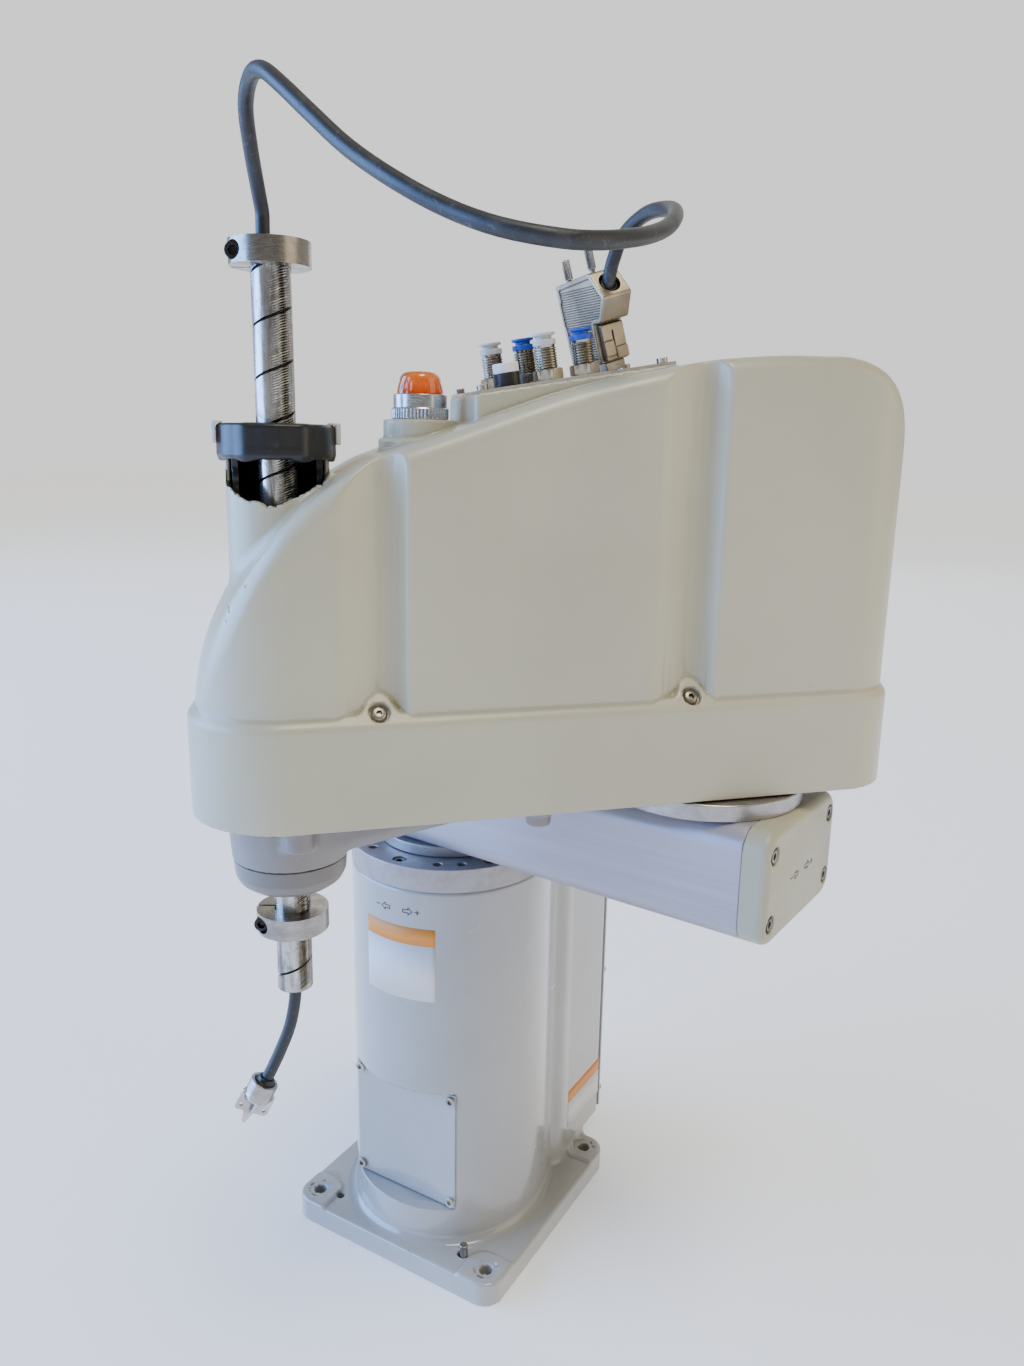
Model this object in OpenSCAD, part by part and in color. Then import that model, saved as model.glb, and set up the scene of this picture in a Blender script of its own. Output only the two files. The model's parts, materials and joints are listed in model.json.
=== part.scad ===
// Desk-size SCARA robot arm: pedestal base, two horizontal links and a ball-screw-spline tool shaft.
// The origin is where the first joint's axis meets the mounting face. +X is the front, +Z is up.

/* [Links] */
// Distance from the first joint axis to the second
arm1_len = 200; // [190:1:210]
// Distance from the second joint axis to the tool shaft
arm2_len = 250; // [245:1:255]
// Heading of the inner link at rest, from +X
shoulder_rest = 85; // [60:1:110]
// Angle of the outer link from the inner link at rest
elbow_rest = -128.7; // [-140:0.1:-100]

/* [Base] */
// Distance from the first joint axis to the plate's front edge
plate_front = 83; // [82:1:90]
// Distance from the first joint axis to the plate's rear edge
plate_rear = 103; // [102:1:110]
// Half width of the base plate
plate_half = 92; // [90:1:100]
// Thickness of the base plate
plate_t = 17; // [14:1:20]
// Pitch of the four mounting holes, both ways
hole_pitch = 155; // [150:1:158]
// X of the mounting pattern's centre
hole_centre_x = -10; // [-12:1:-8]
// Radius of the mounting holes
hole_r = 4.5; // [3.5:0.5:5.5]
// Outer radius of the column
column_r = 73; // [72:1:75]
// Half width of the rear housing
rear_half = 68; // [66:1:69]
// Distance from the first joint axis to the rear housing's back face
rear_x = 137; // [130:1:145]

/* [Inner link] */
// Half width of the extruded beam
beam_half = 54; // [53:1:58]
// Height of the extruded beam
beam_h = 69; // [67:1:72]
// Thickness of the beam's end caps
cap_t = 16; // [14:1:20]

/* [Outer link] */
// Half width of the cover's lower band
band_half = 51; // [50:1:54]
// Height of the cover's lower band
band_h = 60; // [56:1:62]
// Distance from the second joint axis to the back of the cover
cover_back = 106; // [104:1:112]
// Wall thickness of the cover
cover_wall = 3; // [2.5:0.5:3]
// Radius of the tube that shields the tool shaft
tower_r = 26; // [26:1:27]

/* [Tool shaft] */
// Radius of the tool shaft
shaft_r = 10; // [10:1:10]
// Radius of the bore through the tool shaft
shaft_bore_r = 7; // [6:0.5:7.5]
// Height of the shaft's lower end at rest
shaft_low = 292; // [285:1:300]
// Outer radius of the two clamp collars
collar_r = 20; // [18:0.5:22]
// Thickness of the two clamp collars
collar_t = 12; // [10:1:14]

/* [Lead] */
// Diameter of the tool lead
lead_d = 7; // [6:0.5:8]

/* [Hidden] */

$fn = 64;
// Gap between faces that turn past each other
turn_gap = 0.4;
// Radial clearance of a running fit
fit_gap = 0.05;

// Levels, from the mounting face up
pad_top = plate_t + 1.5;
column_top = 298;
ring_top = column_top + 17;
arm1_bottom = ring_top + 8;
arm1_top = arm1_bottom + beam_h;
arm1_mid = (arm1_bottom + arm1_top) / 2;
j2_ring_top = arm1_top + 10;
arm2_bottom = j2_ring_top + 0.5;
floor_top = arm2_bottom + 9.5;
ledge_z = arm2_bottom + band_h;
nose_low = 357;
nose_seam = 374;
shaft_top = 690;
lower_collar_z = 329;
upper_collar_z = 679;
collar_turn = -16;
cap_low = 588;
cap_high = 605;

// Base
plate_corner_r = 14;
column_wall = 8;
pad_r = 15;
window_x = 57;
window_low = 46;
window_high = 142;
rear_low = 19;
rear_step_x = 56;
rear_top = 290;
ring_bore_r = 42;
flange_bolt_pcr = 63;
reducer_r = 60;

// Inner link
beam_start = -50;
beam_end = arm1_len + 50;
beam_corner_r = 14;
beam_wall = 8;
corner_foot = beam_corner_r - beam_wall;
cap_screw_y = 44;
cap_screw_z = 20.5;
j2_ring_r = 60;
j2_bore_r = 40;

// Outer link
upper_inset = 3.5;
upper_half = band_half - upper_inset;
back_corner_r = 36;
front_arc = [80, 400];
front_arc_r = 231;
back_arc = [-46, 587];
back_arc_r = 59;
flute_ts = [38, 208];
flute_half = 16;
flute_depth = 8.5;
boss_s = 44.5;
boss_ts = [33, 206];
plate_tilt = 9.65;
plate_start = 45;
plate_end = 154;
plate_s = 31;
plate_high = 641;
lamp_t = 176;
lamp_z = 608.5;
screw_ts = [52, 149];
screw_s = 26;
fitting_ts = [132, 114, 111, 91];
fitting_ss = [-12, -12, 16, 16];
fitting_r = 6;
tube_r = 3;
button_t = 133;
button_s = 16;
hood_t = 74;
hood_s = -4;
hood_twist = 11;
hood_lean = 17;
hood_d = 17.5;
jack_ws = [-14, 11];
outlet = [25.3, 44.5];
outlet_tilt = 51;

// Drive train inside the outer link
motor3_t = 75;
motor4_t = 150;
bracket_z = 448;
bracket_top = 454;
belt_w = 9;
belt_t = 2.4;
spline_belt_z = 418;
ball_belt_z = 436;
motor_pulley_r = 14;
nut_pulley_r = 22;
post_s = 31;
bearing_r = 24;
spline_nut_r = 16;
ball_nut_r = 17;
ball_journal_r = 20;

// Tool lead: points of the free upper stretch, along the outer link, across it and up
upper_route = [[82, 19, 672], [82, 24, 684], [82, 29, 690], [82, 36, 696], [81, 48, 701], [79, 64, 704],
    [78, 83, 702], [82, 101, 697], [90, 118, 690], [101, 134, 683], [115, 150, 677], [128, 162, 673],
    [142, 171, 670], [158, 175, 669], [178, 166, 673], [194, 151, 681], [210, 136, 692], [225, 115, 707],
    [238, 98, 723], [247, 82, 736], [254, 66, 746], [258, 49, 748], [260, 33, 741], [258, 18, 728],
    [255, 6, 714], [253, 0, 704], [253, 0, 697], [253, 0, 690]];
// Points of the stretch that runs down the shaft's bore and hangs below it
lower_route = [[253, 0, 689.9], [253, 0, 670], [252, 0, 640], [250, 0, 590], [250, 0, 540],
    [250, 0, 490], [250, 0, 440], [250, 0, 390], [250, 0, 340], [250, 0, 310], [250, 0, 292],
    [251, 0, 280], [254, 0, 266], [259, 0, 253], [265, 0, 240], [270, 0, 231]];
lead_sides = 10;
plug_dir = [0.47, 0, -0.88];

shaft_t = arm2_len;
j2 = arm1_len * [cos(shoulder_rest), sin(shoulder_rest)];
arm2_heading = shoulder_rest + elbow_rest;

// Heights of the connector plate's top face, which slopes down towards the nose
function plate_z(t) = plate_high - tan(plate_tilt) * (t - plate_start);
// Points of an arc in a plane, n steps from angle a to angle b
function arc(c, r, a, b, n) = [for (i = [0:n])
    let (turn = a + (b - a) * i / n) c + r * [cos(turn), sin(turn)]];

// Catmull-Rom point at u in [0, 1] between the middle two of four points
function spline_at(p, u) = 0.5 * (2 * p[1] + (p[2] - p[0]) * u
    + (2 * p[0] - 5 * p[1] + 4 * p[2] - p[3]) * u * u
    + (3 * p[1] - p[0] - 3 * p[2] + p[3]) * u * u * u);
function route_point(route, i) = route[max(0, min(len(route) - 1, i))];
// A smooth path through the route, with the given number of steps between its points
function smooth(route, steps) = [for (i = [0:len(route) - 2], k = [0:steps - 1])
    spline_at([for (j = [-1:2]) route_point(route, i + j)], k / steps)];
function whole_path(route, steps) = concat(smooth(route, steps), [route[len(route) - 1]]);
function unit(v) = v / norm(v);
function tangent(path, i) = unit(path[min(len(path) - 1, i + 1)] - path[max(0, i - 1)]);
// A direction square to the path at each point, carried along so that the tube doesn't twist
function carried(path, i) = i == 0 ? unit(cross(tangent(path, 0), [1, 0.3, 0.2]))
    : let (n = carried(path, i - 1), t = tangent(path, i)) unit(n - (n * t) * t);
function ring_points(path, i, r, sides) = let (t = tangent(path, i), n = carried(path, i), b = cross(t, n))
    [for (k = [0:sides - 1]) path[i] + r * (cos(360 * k / sides) * n + sin(360 * k / sides) * b)];

module on_arm1() { rotate([0, 0, shoulder_rest]) children(); }
module on_arm2() { translate([j2[0], j2[1], 0]) rotate([0, 0, arm2_heading]) children(); }
module on_shaft(z) { on_arm2() translate([shaft_t, 0, z]) children(); }
// A place on the sloping connector plate, with its normal as the new up
module on_plate(t, s) { on_arm2() translate([t, s, plate_z(t)]) rotate([0, plate_tilt, 0]) children(); }

// A box from low x, y to high x, y with rounded corners
module rounded_area(x0, x1, y0, y1, r) {
    translate([x0 + r, y0]) square([x1 - x0 - 2 * r, y1 - y0]);
    translate([x0, y0 + r]) square([x1 - x0, y1 - y0 - 2 * r]);
    for (x = [x0 + r, x1 - r], y = [y0 + r, y1 - r]) translate([x, y]) circle(r);
}
module slab(x0, x1, y0, y1, z0, z1, r) {
    translate([0, 0, z0]) linear_extrude(z1 - z0) rounded_area(x0, x1, y0, y1, r);
}
module ring(r_out, r_in, h) {
    difference() {
        cylinder(r = r_out, h = h);
        translate([0, 0, -1]) cylinder(r = r_in, h = h + 2);
    }
}
// A hexagon prism measured across its flats
module hexagon(flats, h) { cylinder(r = flats / sqrt(3), h = h, $fn = 6); }
// A socket-head screw standing on z = 0, with its shank below
module cap_screw(head_r, head_h, shank_r, shank_l) {
    difference() {
        cylinder(r = head_r, h = head_h);
        translate([0, 0, head_h * 0.45]) hexagon(head_r, head_h);
    }
    translate([0, 0, -shank_l]) cylinder(r = shank_r, h = shank_l);
}
module tube(path, r, sides) {
    count = len(path);
    points = [for (i = [0:count - 1]) each ring_points(path, i, r, sides)];
    sides_faces = [for (i = [0:count - 2], k = [0:sides - 1]) let (a = i * sides, b = (k + 1) % sides)
        [a + k, a + b, a + sides + b, a + sides + k]];
    start_face = [for (k = [sides - 1:-1:0]) k];
    end_face = [for (k = [0:sides - 1]) (count - 1) * sides + k];
    polyhedron(points = points, faces = concat([start_face], sides_faces, [end_face]));
}

// ---- Base ----

module base_outside() {
    slab(-plate_rear, plate_front, -plate_half, plate_half, 0, plate_t, plate_corner_r);
    for (x = [-1, 1], y = [-1, 1])
        translate([hole_centre_x + x * hole_pitch / 2, y * hole_pitch / 2, plate_t - 1])
            cylinder(r = pad_r - 1, h = pad_top - plate_t + 1);
    translate([0, 0, plate_t]) cylinder(r = column_r, h = column_top - plate_t);
    // Fillet where the column meets the plate
    rotate_extrude() polygon(concat([[column_r - 1, plate_t - 1]],
        [for (p = arc([column_r + 7, plate_t + 7], 7, 180, 270, 6)) p], [[column_r + 7, plate_t - 1]]));
    slab(-rear_step_x - 6, 0, -rear_half + 5, rear_half - 5, plate_t, rear_top, 4);
    slab(-rear_x, -rear_step_x, -rear_half, rear_half, rear_low, rear_top, 6);
}
module base_casting() {
    color("gainsboro") difference() {
        base_outside();
        // Hollow of the column and of the rear housing
        difference() {
            translate([0, 0, plate_t + 3])
                cylinder(r = column_r - column_wall, h = column_top - plate_t - 39);
            translate([window_x - column_wall, -column_r, 0]) cube([60, 2 * column_r, window_high + 10]);
        }
        translate([-rear_x + column_wall, -rear_half + column_wall, plate_t + 9])
            cube([rear_x - column_wall, 2 * (rear_half - column_wall), rear_top - plate_t - 38]);
        translate([-rear_x - 1, -rear_half + column_wall, plate_t + 13])
            cube([column_wall + 2, 2 * (rear_half - column_wall), rear_top - plate_t - 46]);
        // Seat of the reducer
        translate([0, 0, column_top - 40]) cylinder(r = reducer_r, h = 41);
        // Flat pocket for the access cover, and the window behind it
        translate([window_x, -60, window_low]) cube([30, 120, window_high - window_low]);
        translate([window_x - 20, -33, window_low + 16]) cube([30, 66, window_high - window_low - 32]);
        for (x = [-1, 1], y = [-1, 1])
            translate([hole_centre_x + x * hole_pitch / 2, y * hole_pitch / 2, -1]) {
                cylinder(r = hole_r, h = pad_top + 2);
                translate([0, 0, pad_top - 0.5]) cylinder(r = hole_r + 4, h = 3);
            }
        translate([64, -60, -1]) cylinder(r = 3, h = pad_top + 2);
        translate([64, 56, -1]) linear_extrude(pad_top + 2) {
            circle(3);
            translate([0, -2]) circle(3);
            translate([-3, -2]) square([6, 2]);
        }
    }
}
module base_access_cover() {
    color("gainsboro") translate([window_x, 0, 0]) difference() {
        translate([0, -44, window_low + 1]) cube([1.5, 88, window_high - window_low - 2]);
        for (y = [-41, 41], z = [window_low + 6, window_high - 6])
            translate([-1, y, z]) rotate([0, 90, 0]) cylinder(r = 2, h = 4);
    }
}
// Button-head screws of the access cover and of the rear panel
module base_panel_screws() {
    color("silver") {
        for (y = [-41, 41], z = [window_low + 6, window_high - 6])
            translate([window_x + 1.5, y, z]) rotate([0, 90, 0]) cap_screw(3.8, 2.4, 2, 1.5);
        for (y = [-63.5, 63.5], z = [40, 155, 270])
            translate([-rear_x - 2, y, z]) rotate([0, -90, 0]) cap_screw(3.8, 2.4, 2, 2);
    }
}
module base_rear_panel() {
    color("gainsboro") difference() {
        translate([-rear_x - 2, -rear_half + 1, rear_low + 5])
            cube([2, 2 * rear_half - 2, rear_top - rear_low - 10]);
        for (y = [-63.5, 63.5], z = [40, 155, 270])
            translate([-rear_x - 3, y, z]) rotate([0, 90, 0]) cylinder(r = 2, h = 4);
        for (y = [-40, -20, 0, 20])
            translate([-rear_x - 3, y, 200]) rotate([0, 90, 0]) cylinder(r = 5, h = 4);
    }
}
module power_connector() {
    color("black") translate([-rear_x - 2, 0, 0]) {
        translate([-13, 36, 64]) cube([13, 22, 26]);
        translate([-5, 32, 60]) cube([5, 30, 34]);
    }
}
module signal_connector() {
    color("dimgray") translate([-rear_x - 2, 0, 0]) {
        translate([-5, -52, 100]) cube([5, 62, 30]);
        translate([-13, -46, 104]) cube([8, 50, 22]);
    }
}
module base_air_fittings() {
    color("silver") for (y = [-40, -20, 0, 20])
        translate([-rear_x - 2, y, 200]) rotate([0, -90, 0]) difference() {
            union() {
                hexagon(14, 5);
                translate([0, 0, -8]) cylinder(r = 4.9, h = 20);
            }
            translate([0, 0, 2]) cylinder(r = tube_r, h = 12);
        }
}
module dowel_pin() { color("silver") translate([64, 56, 1]) cylinder(r = 3, h = 25); }
module j1_motor() {
    color("dimgray") {
        slab(-37, 37, -37, 37, 140, column_top - 38, 6);
        translate([0, 0, 100]) cylinder(r = 30, h = 40);
        translate([0, 0, column_top - 38]) cylinder(r = 7, h = 30);
    }
}
module j1_reducer() {
    color("silver") translate([0, 0, column_top - 38]) ring(reducer_r, 20, 38);
}
// Angles of the ring's counterbored bolts, and of its open holes
bolt_turns = [for (k = [0:5]) 60 * k];
hole_turns = concat([for (k = [0:2]) each [120 * k + 26, 120 * k + 41]], [for (k = [0:2]) 120 * k - 27]);
module j1_flange_ring() {
    color("silver") translate([0, 0, column_top]) difference() {
        ring(column_r, ring_bore_r, ring_top - column_top);
        for (a = bolt_turns) rotate([0, 0, a]) translate([flange_bolt_pcr, 0, 0]) {
            translate([0, 0, -1]) cylinder(r = 2.6, h = 20);
            translate([0, 0, 11]) cylinder(r = 4.9, h = 7);
        }
        for (a = hole_turns) rotate([0, 0, a]) translate([flange_bolt_pcr, 0, 3]) cylinder(r = 3.3, h = 20);
    }
}
module j1_flange_bolts() {
    color("dimgray") for (a = bolt_turns) rotate([0, 0, a])
        translate([flange_bolt_pcr, 0, column_top + 11]) cap_screw(4.2, 5, 2.6, 10);
}

// ---- Inner link ----

module j1_output_flange() {
    color("silver") {
        translate([0, 0, ring_top + turn_gap]) ring(52, 15, arm1_bottom - ring_top - turn_gap);
        translate([0, 0, column_top + 2]) ring(ring_bore_r - fit_gap, 15, ring_top - column_top);
    }
}
// Cross-section of the beam's outside, grown or shrunk by e
module beam_area(e) {
    rounded_area(-beam_half - e, beam_half + e, arm1_bottom - e, arm1_top + e, beam_corner_r + e);
}
// A length of the beam's section along the inner link
module beam_length(t0, t1, e) {
    translate([t0, 0, 0]) rotate([90, 0, 90]) linear_extrude(t1 - t0) beam_area(e);
}
module arm1_beam() {
    color("lightsteelblue") on_arm1() difference() {
        beam_length(beam_start, beam_end, 0);
        beam_length(beam_start - 1, beam_end + 1, -beam_wall);
        translate([0, 0, arm1_bottom - 1]) cylinder(r = 15, h = beam_wall + 2);
        translate([arm1_len, 0, arm1_top - beam_wall - corner_foot])
            cylinder(r = 46, h = beam_wall + corner_foot + 1);
    }
}
// An end cap that stands on x = 0 and faces +x
module end_cap() {
    difference() {
        union() {
            beam_length(0, cap_t - 5, 0);
            beam_length(cap_t - 5, cap_t - 1.5, -2);
            beam_length(cap_t - 1.5, cap_t, -5);
        }
        beam_length(-1, cap_t - 4, -7);
        for (y = [-cap_screw_y, cap_screw_y], z = [-cap_screw_z, cap_screw_z])
            translate([-1, y, arm1_mid + z]) rotate([0, 90, 0]) cylinder(r = 3.8, h = cap_t + 2);
    }
}
module arm1_outer_cap() { color("gainsboro") on_arm1() translate([beam_end, 0, 0]) end_cap(); }
module arm1_inner_cap() {
    color("gainsboro") on_arm1() mirror([1, 0, 0]) translate([-beam_start, 0, 0]) end_cap();
}
module cap_screw_set() {
    for (y = [-cap_screw_y, cap_screw_y], z = [-cap_screw_z, cap_screw_z])
        translate([cap_t - 3.5, y, arm1_mid + z]) rotate([0, 90, 0]) cap_screw(3.8, 3, 2, cap_t - 3.5);
}
module arm1_cap_screws() {
    color("silver") on_arm1() {
        translate([beam_end, 0, 0]) cap_screw_set();
        mirror([1, 0, 0]) translate([-beam_start, 0, 0]) cap_screw_set();
    }
}
module j2_flange_ring() {
    color("silver") on_arm2() translate([0, 0, arm1_top])
        ring(j2_ring_r, j2_bore_r, j2_ring_top - arm1_top);
}
module j2_reducer() {
    color("silver") on_arm2() translate([0, 0, arm1_top - 48]) ring(45.8, 10, 48);
}

// ---- Outer link ----

// Plan of the outer link: a straight body with a rounded back and a round nose on the tool axis
module link_area(half, back, corner) {
    translate([-back, -half + corner]) square([shaft_t + back, 2 * (half - corner)]);
    translate([-back + corner, -half]) square([shaft_t + back - corner, 2 * half]);
    for (y = [-1, 1]) translate([-back + corner, y * (half - corner)]) circle(corner);
    translate([shaft_t, 0]) circle(half);
}
// Sloping web under the outer link, from its middle down to the nose
module nose_web() {
    translate([0, 27, 0]) rotate([90, 0, 0]) linear_extrude(54)
        polygon([[95, floor_top - 5], [95, 397], [150, 393], [225, 379], [shaft_t, 376],
            [shaft_t, floor_top - 5]]);
}
module arm2_casting() {
    color("silver") on_arm2() difference() {
        union() {
            translate([0, 0, arm2_bottom]) linear_extrude(floor_top - arm2_bottom)
                link_area(band_half - cover_wall - 1.5, cover_back - cover_wall - 1.5, back_corner_r - 1.5);
            translate([0, 0, arm1_top + 1]) cylinder(r = j2_bore_r - fit_gap, h = 12);
            nose_web();
            translate([shaft_t, 0, nose_seam]) cylinder(r1 = 31.5, r2 = 33.5, h = floor_top - nose_seam);
            for (s = [-34, 34]) translate([shaft_t - 2, s, 388]) cylinder(r = 8, h = floor_top - 388);
            for (s = [-38, 38]) translate([118, s, 393]) cylinder(r = 7, h = floor_top - 393);
            for (t = [50, 112, 186], s = [-post_s, post_s]) translate([t, s, floor_top - 1])
                cylinder(r = 5, h = bracket_z - floor_top + 1);
            for (s = [-36, 36]) translate([shaft_t, s, floor_top - 1])
                cylinder(r = 5, h = bracket_z - floor_top + 1);
            for (t = boss_ts, s = [-40, 40]) translate([t, s, floor_top - 1])
                cylinder(r = 4.5, h = ledge_z - cover_wall - floor_top + 1);
        }
        translate([0, 0, arm1_top]) cylinder(r = 8, h = 40);
        translate([shaft_t, 0, nose_seam - 1]) cylinder(r = bearing_r, h = floor_top - nose_seam + 2);
    }
}
module nose_cap() {
    color("gainsboro") on_shaft(nose_low) difference() {
        rotate_extrude() polygon(concat([[0, 0]],
            arc([20.5, 9], 9, 270, 355, 6), [[31, nose_seam - nose_low], [0, nose_seam - nose_low]]));
        translate([0, 0, -1]) cylinder(r = shaft_r + 1, h = 30);
        translate([0, 0, 8]) cylinder(r = 21, h = 20);
    }
}
// Side outline of the cover above its ledge, shrunk by e
module side_outline(e) {
    polygon(concat([[-cover_back + e + 1, ledge_z - 8]],
        [for (p = arc(back_arc, back_arc_r - e, 180, 90, 10)) p],
        [[-9, 646 - e], [30, 641 - e], [75, 634 - e], [136, 618 - e]],
        arc(front_arc, front_arc_r - e, 62, 14, 14),
        [[front_arc[0] + front_arc_r - e, ledge_z - 8]]));
}
// Plan of one upright flute in the cover's side wall
module flute_area(t, e) {
    half = flute_half + e;
    floor_s = upper_half - flute_depth - e;
    for (side = [-1, 1])
        polygon([[t - half, side * (upper_half + 2)], [t - half + 6, side * floor_s],
            [t + half - 6, side * floor_s], [t + half, side * (upper_half + 2)]]);
}
module cover_upper(e) {
    intersection() {
        translate([0, band_half, 0]) rotate([90, 0, 0]) linear_extrude(2 * band_half) side_outline(e);
        translate([0, 0, ledge_z - 8]) linear_extrude(220) difference() {
            link_area(upper_half - e, cover_back - upper_inset - e, back_corner_r - e);
            for (t = flute_ts) flute_area(t, e);
        }
    }
}
// Raised seat of the connector plate, shrunk by e on its sides
module plate_seat(e) {
    translate([0, plate_s - e, 0]) rotate([90, 0, 0]) linear_extrude(2 * (plate_s - e))
        polygon([[plate_start + e, 595], [plate_end - e, 595],
            [plate_end - e, plate_z(plate_end - e) - 1.55 + e],
            [plate_start + e, plate_z(plate_start + e) - 1.55 + e]]);
}
// The places of the cover's four screws
module at_bosses(z) {
    for (t = boss_ts, s = [-boss_s, boss_s]) translate([t, s, z]) children();
}
module arm2_cover() {
    color("ivory") on_arm2() difference() {
        union() {
            translate([0, 0, arm2_bottom]) linear_extrude(band_h)
                link_area(band_half, cover_back, back_corner_r + 3);
            cover_upper(0);
            plate_seat(0);
            translate([lamp_t, 0, 570]) cylinder(r = 22, h = 599 - 570);
            translate([lamp_t, 0, 570]) cylinder(r = 19.3, h = lamp_z - 570);
            translate([shaft_t, 0, ledge_z]) cylinder(r = tower_r, h = 588 - ledge_z);
            at_bosses(ledge_z - 2) cylinder(r = 6.3, h = 6);
        }
        translate([0, 0, arm2_bottom - 1]) linear_extrude(band_h + 1 - cover_wall)
            link_area(band_half - cover_wall, cover_back - cover_wall, back_corner_r);
        difference() {
            cover_upper(cover_wall);
            at_bosses(ledge_z - 10) cylinder(r = 8, h = 12);
        }
        plate_seat(5);
        translate([lamp_t, 0, 560]) cylinder(r = 9, h = 60);
        translate([lamp_t, 0, lamp_z]) cylinder(r = 15.5, h = 20);
        translate([shaft_t, 0, ledge_z - 10]) cylinder(r = tower_r - 2.5, h = 200);
        // The tower's front is broken away in a bowl shape
        translate([shaft_t, 2, 594]) rotate([-90, 0, 0]) cylinder(r = 27, h = 40);
        at_bosses(ledge_z - 10) cylinder(r = 2.2, h = 30);
        at_bosses(ledge_z + 1) cylinder(r = 4.2, h = 10);
    }
}
module arm2_cover_screws() {
    color("silver") on_arm2() at_bosses(ledge_z + 1) cap_screw(3.9, 2.8, 2, 3.9);
}
module connector_plate() {
    length = (plate_end - plate_start) / cos(plate_tilt) - 2;
    color("silver") on_plate(plate_start, 0) difference() {
        translate([1, -plate_s + 1, -1.5]) cube([length, 2 * plate_s - 2, 1.5]);
        for (i = [0:3]) plate_hole(fitting_ts[i], fitting_ss[i], fitting_r);
        for (t = screw_ts, s = [-screw_s, screw_s]) plate_hole(t, s, 1.6);
        plate_hole(button_t, button_s, 5.5);
    }
}
// A hole through the connector plate at a place of the outer link
module plate_hole(t, s, r) {
    translate([(t - plate_start) / cos(plate_tilt), s, -4]) cylinder(r = r, h = 8);
}
module connector_plate_screws() {
    color("silver") for (t = screw_ts, s = [-screw_s, screw_s])
        on_plate(t, s) cap_screw(2.9, 2.6, 1.6, 1.5);
}
// Knurled ring of the warning lamp, with a smooth ring above it
module lamp_base() {
    color("silver") on_arm2() translate([lamp_t, 0, lamp_z]) {
        cylinder(r = 14.8, h = 6);
        translate([0, 0, 6]) cylinder(r = 13.9, h = 7);
        translate([0, 0, -8]) cylinder(r = 8.5, h = 8);
    }
}
module lamp_lens() {
    color("darkorange") on_arm2() translate([lamp_t, 0, lamp_z + 13]) rotate_extrude()
        polygon(concat([[0, 0], [12, 0]], arc([7, 6.5], 4.8, 10, 80, 6), [[0, 12]]));
}
module brake_button_body() {
    color("black") on_plate(button_t, button_s) {
        ring(7.2, 6.8, 8.5);
        translate([0, 0, -6]) cylinder(r = 5.5, h = 6);
        cylinder(r = 7.2, h = 1);
    }
}
module brake_button() {
    color("white") on_plate(button_t, button_s) translate([0, 0, 4.5]) cylinder(r = 6.7, h = 10.5);
}
module air_fitting_bodies() {
    color("silver") for (i = [0:3]) on_plate(fitting_ts[i], fitting_ss[i]) difference() {
        union() {
            hexagon(14, 5.5);
            translate([0, 0, -7]) cylinder(r = fitting_r, h = 25);
        }
        cylinder(r = tube_r, h = 20);
        translate([0, 0, 12]) cylinder(r = 4.2, h = 8);
    }
}
// Push-in ring that lets go of an air tube
module release_ring(i) {
    color(i == 1 || i == 3 ? "royalblue" : "lightgray") on_plate(fitting_ts[i], fitting_ss[i])
        translate([0, 0, 14]) difference() {
            union() {
                cylinder(r = 4.15, h = 8);
                translate([0, 0, 7.5]) cylinder(r = 5.2, h = 2);
            }
            translate([0, 0, -1]) cylinder(r = tube_r + 0.1, h = 12);
        }
}
module release_ring_1() { release_ring(0); }
module release_ring_2() { release_ring(1); }
module release_ring_3() { release_ring(2); }
module release_ring_4() { release_ring(3); }

// The hood's own frame: its thickness along x, its width along y, and the plug's axis up
module on_hood() {
    on_plate(hood_t, hood_s) rotate([0, -plate_tilt, 0]) rotate([0, 0, hood_twist])
        rotate([0, hood_lean, 0]) children();
}
module dsub_socket() {
    color("silver") on_hood() difference() {
        translate([-6, -15, 0]) cube([12, 30, 5.5]);
        translate([-20, -20, -5]) cube([40, 40, 5.5]);
    }
}
// Metal hood with its lead outlet in a slanted face
module dsub_hood() {
    color("tan") on_hood() difference() {
        translate([-hood_d / 2, 0, 0]) rotate([90, 0, 90]) linear_extrude(hood_d)
            polygon([[-15.5, 5.5], [15.5, 5.5], [15.5, 26], [23, 26], [30.5, 38], [20, 51], [-15.5, 48.5]]);
        translate([0, outlet[0], outlet[1]]) rotate([-outlet_tilt, 0, 0])
            translate([0, 0, -6]) cylinder(r = 5.5, h = 12);
    }
}
module hood_thumbscrews() {
    color("silver") on_hood() for (w = jack_ws)
        translate([0, w, 48.5 + 0.1 * (w - jack_ws[0])]) cylinder(r = 2.3, h = 12);
}

// ---- Drives inside the outer link ----

// A square servo motor that stands on z = 0, with a round encoder cap
module motor_body(half, h) {
    slab(-half, half, -half, half, 0, h, 6);
    translate([0, 0, h]) cylinder(r = half - 4, h = 12);
}
module j2_motor() {
    color("dimgray") on_arm2() {
        translate([0, 0, floor_top]) motor_body(30, 116);
        translate([0, 0, arm1_top - 30]) cylinder(r = 6, h = floor_top - arm1_top + 30);
    }
}
module motor_bracket() {
    color("silver") on_arm2() difference() {
        translate([40, -36, bracket_z]) cube([156, 72, bracket_top - bracket_z]);
        for (t = [motor3_t, motor4_t]) translate([t, 0, bracket_z - 1]) cylinder(r = 18, h = 10);
    }
}
module drive_motor(t, h) {
    on_arm2() translate([t, 0, bracket_top]) motor_body(28, h);
}
module j3_motor() { color("dimgray") drive_motor(motor3_t, 120); }
module j4_motor() { color("dimgray") drive_motor(motor4_t, 92); }
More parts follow.
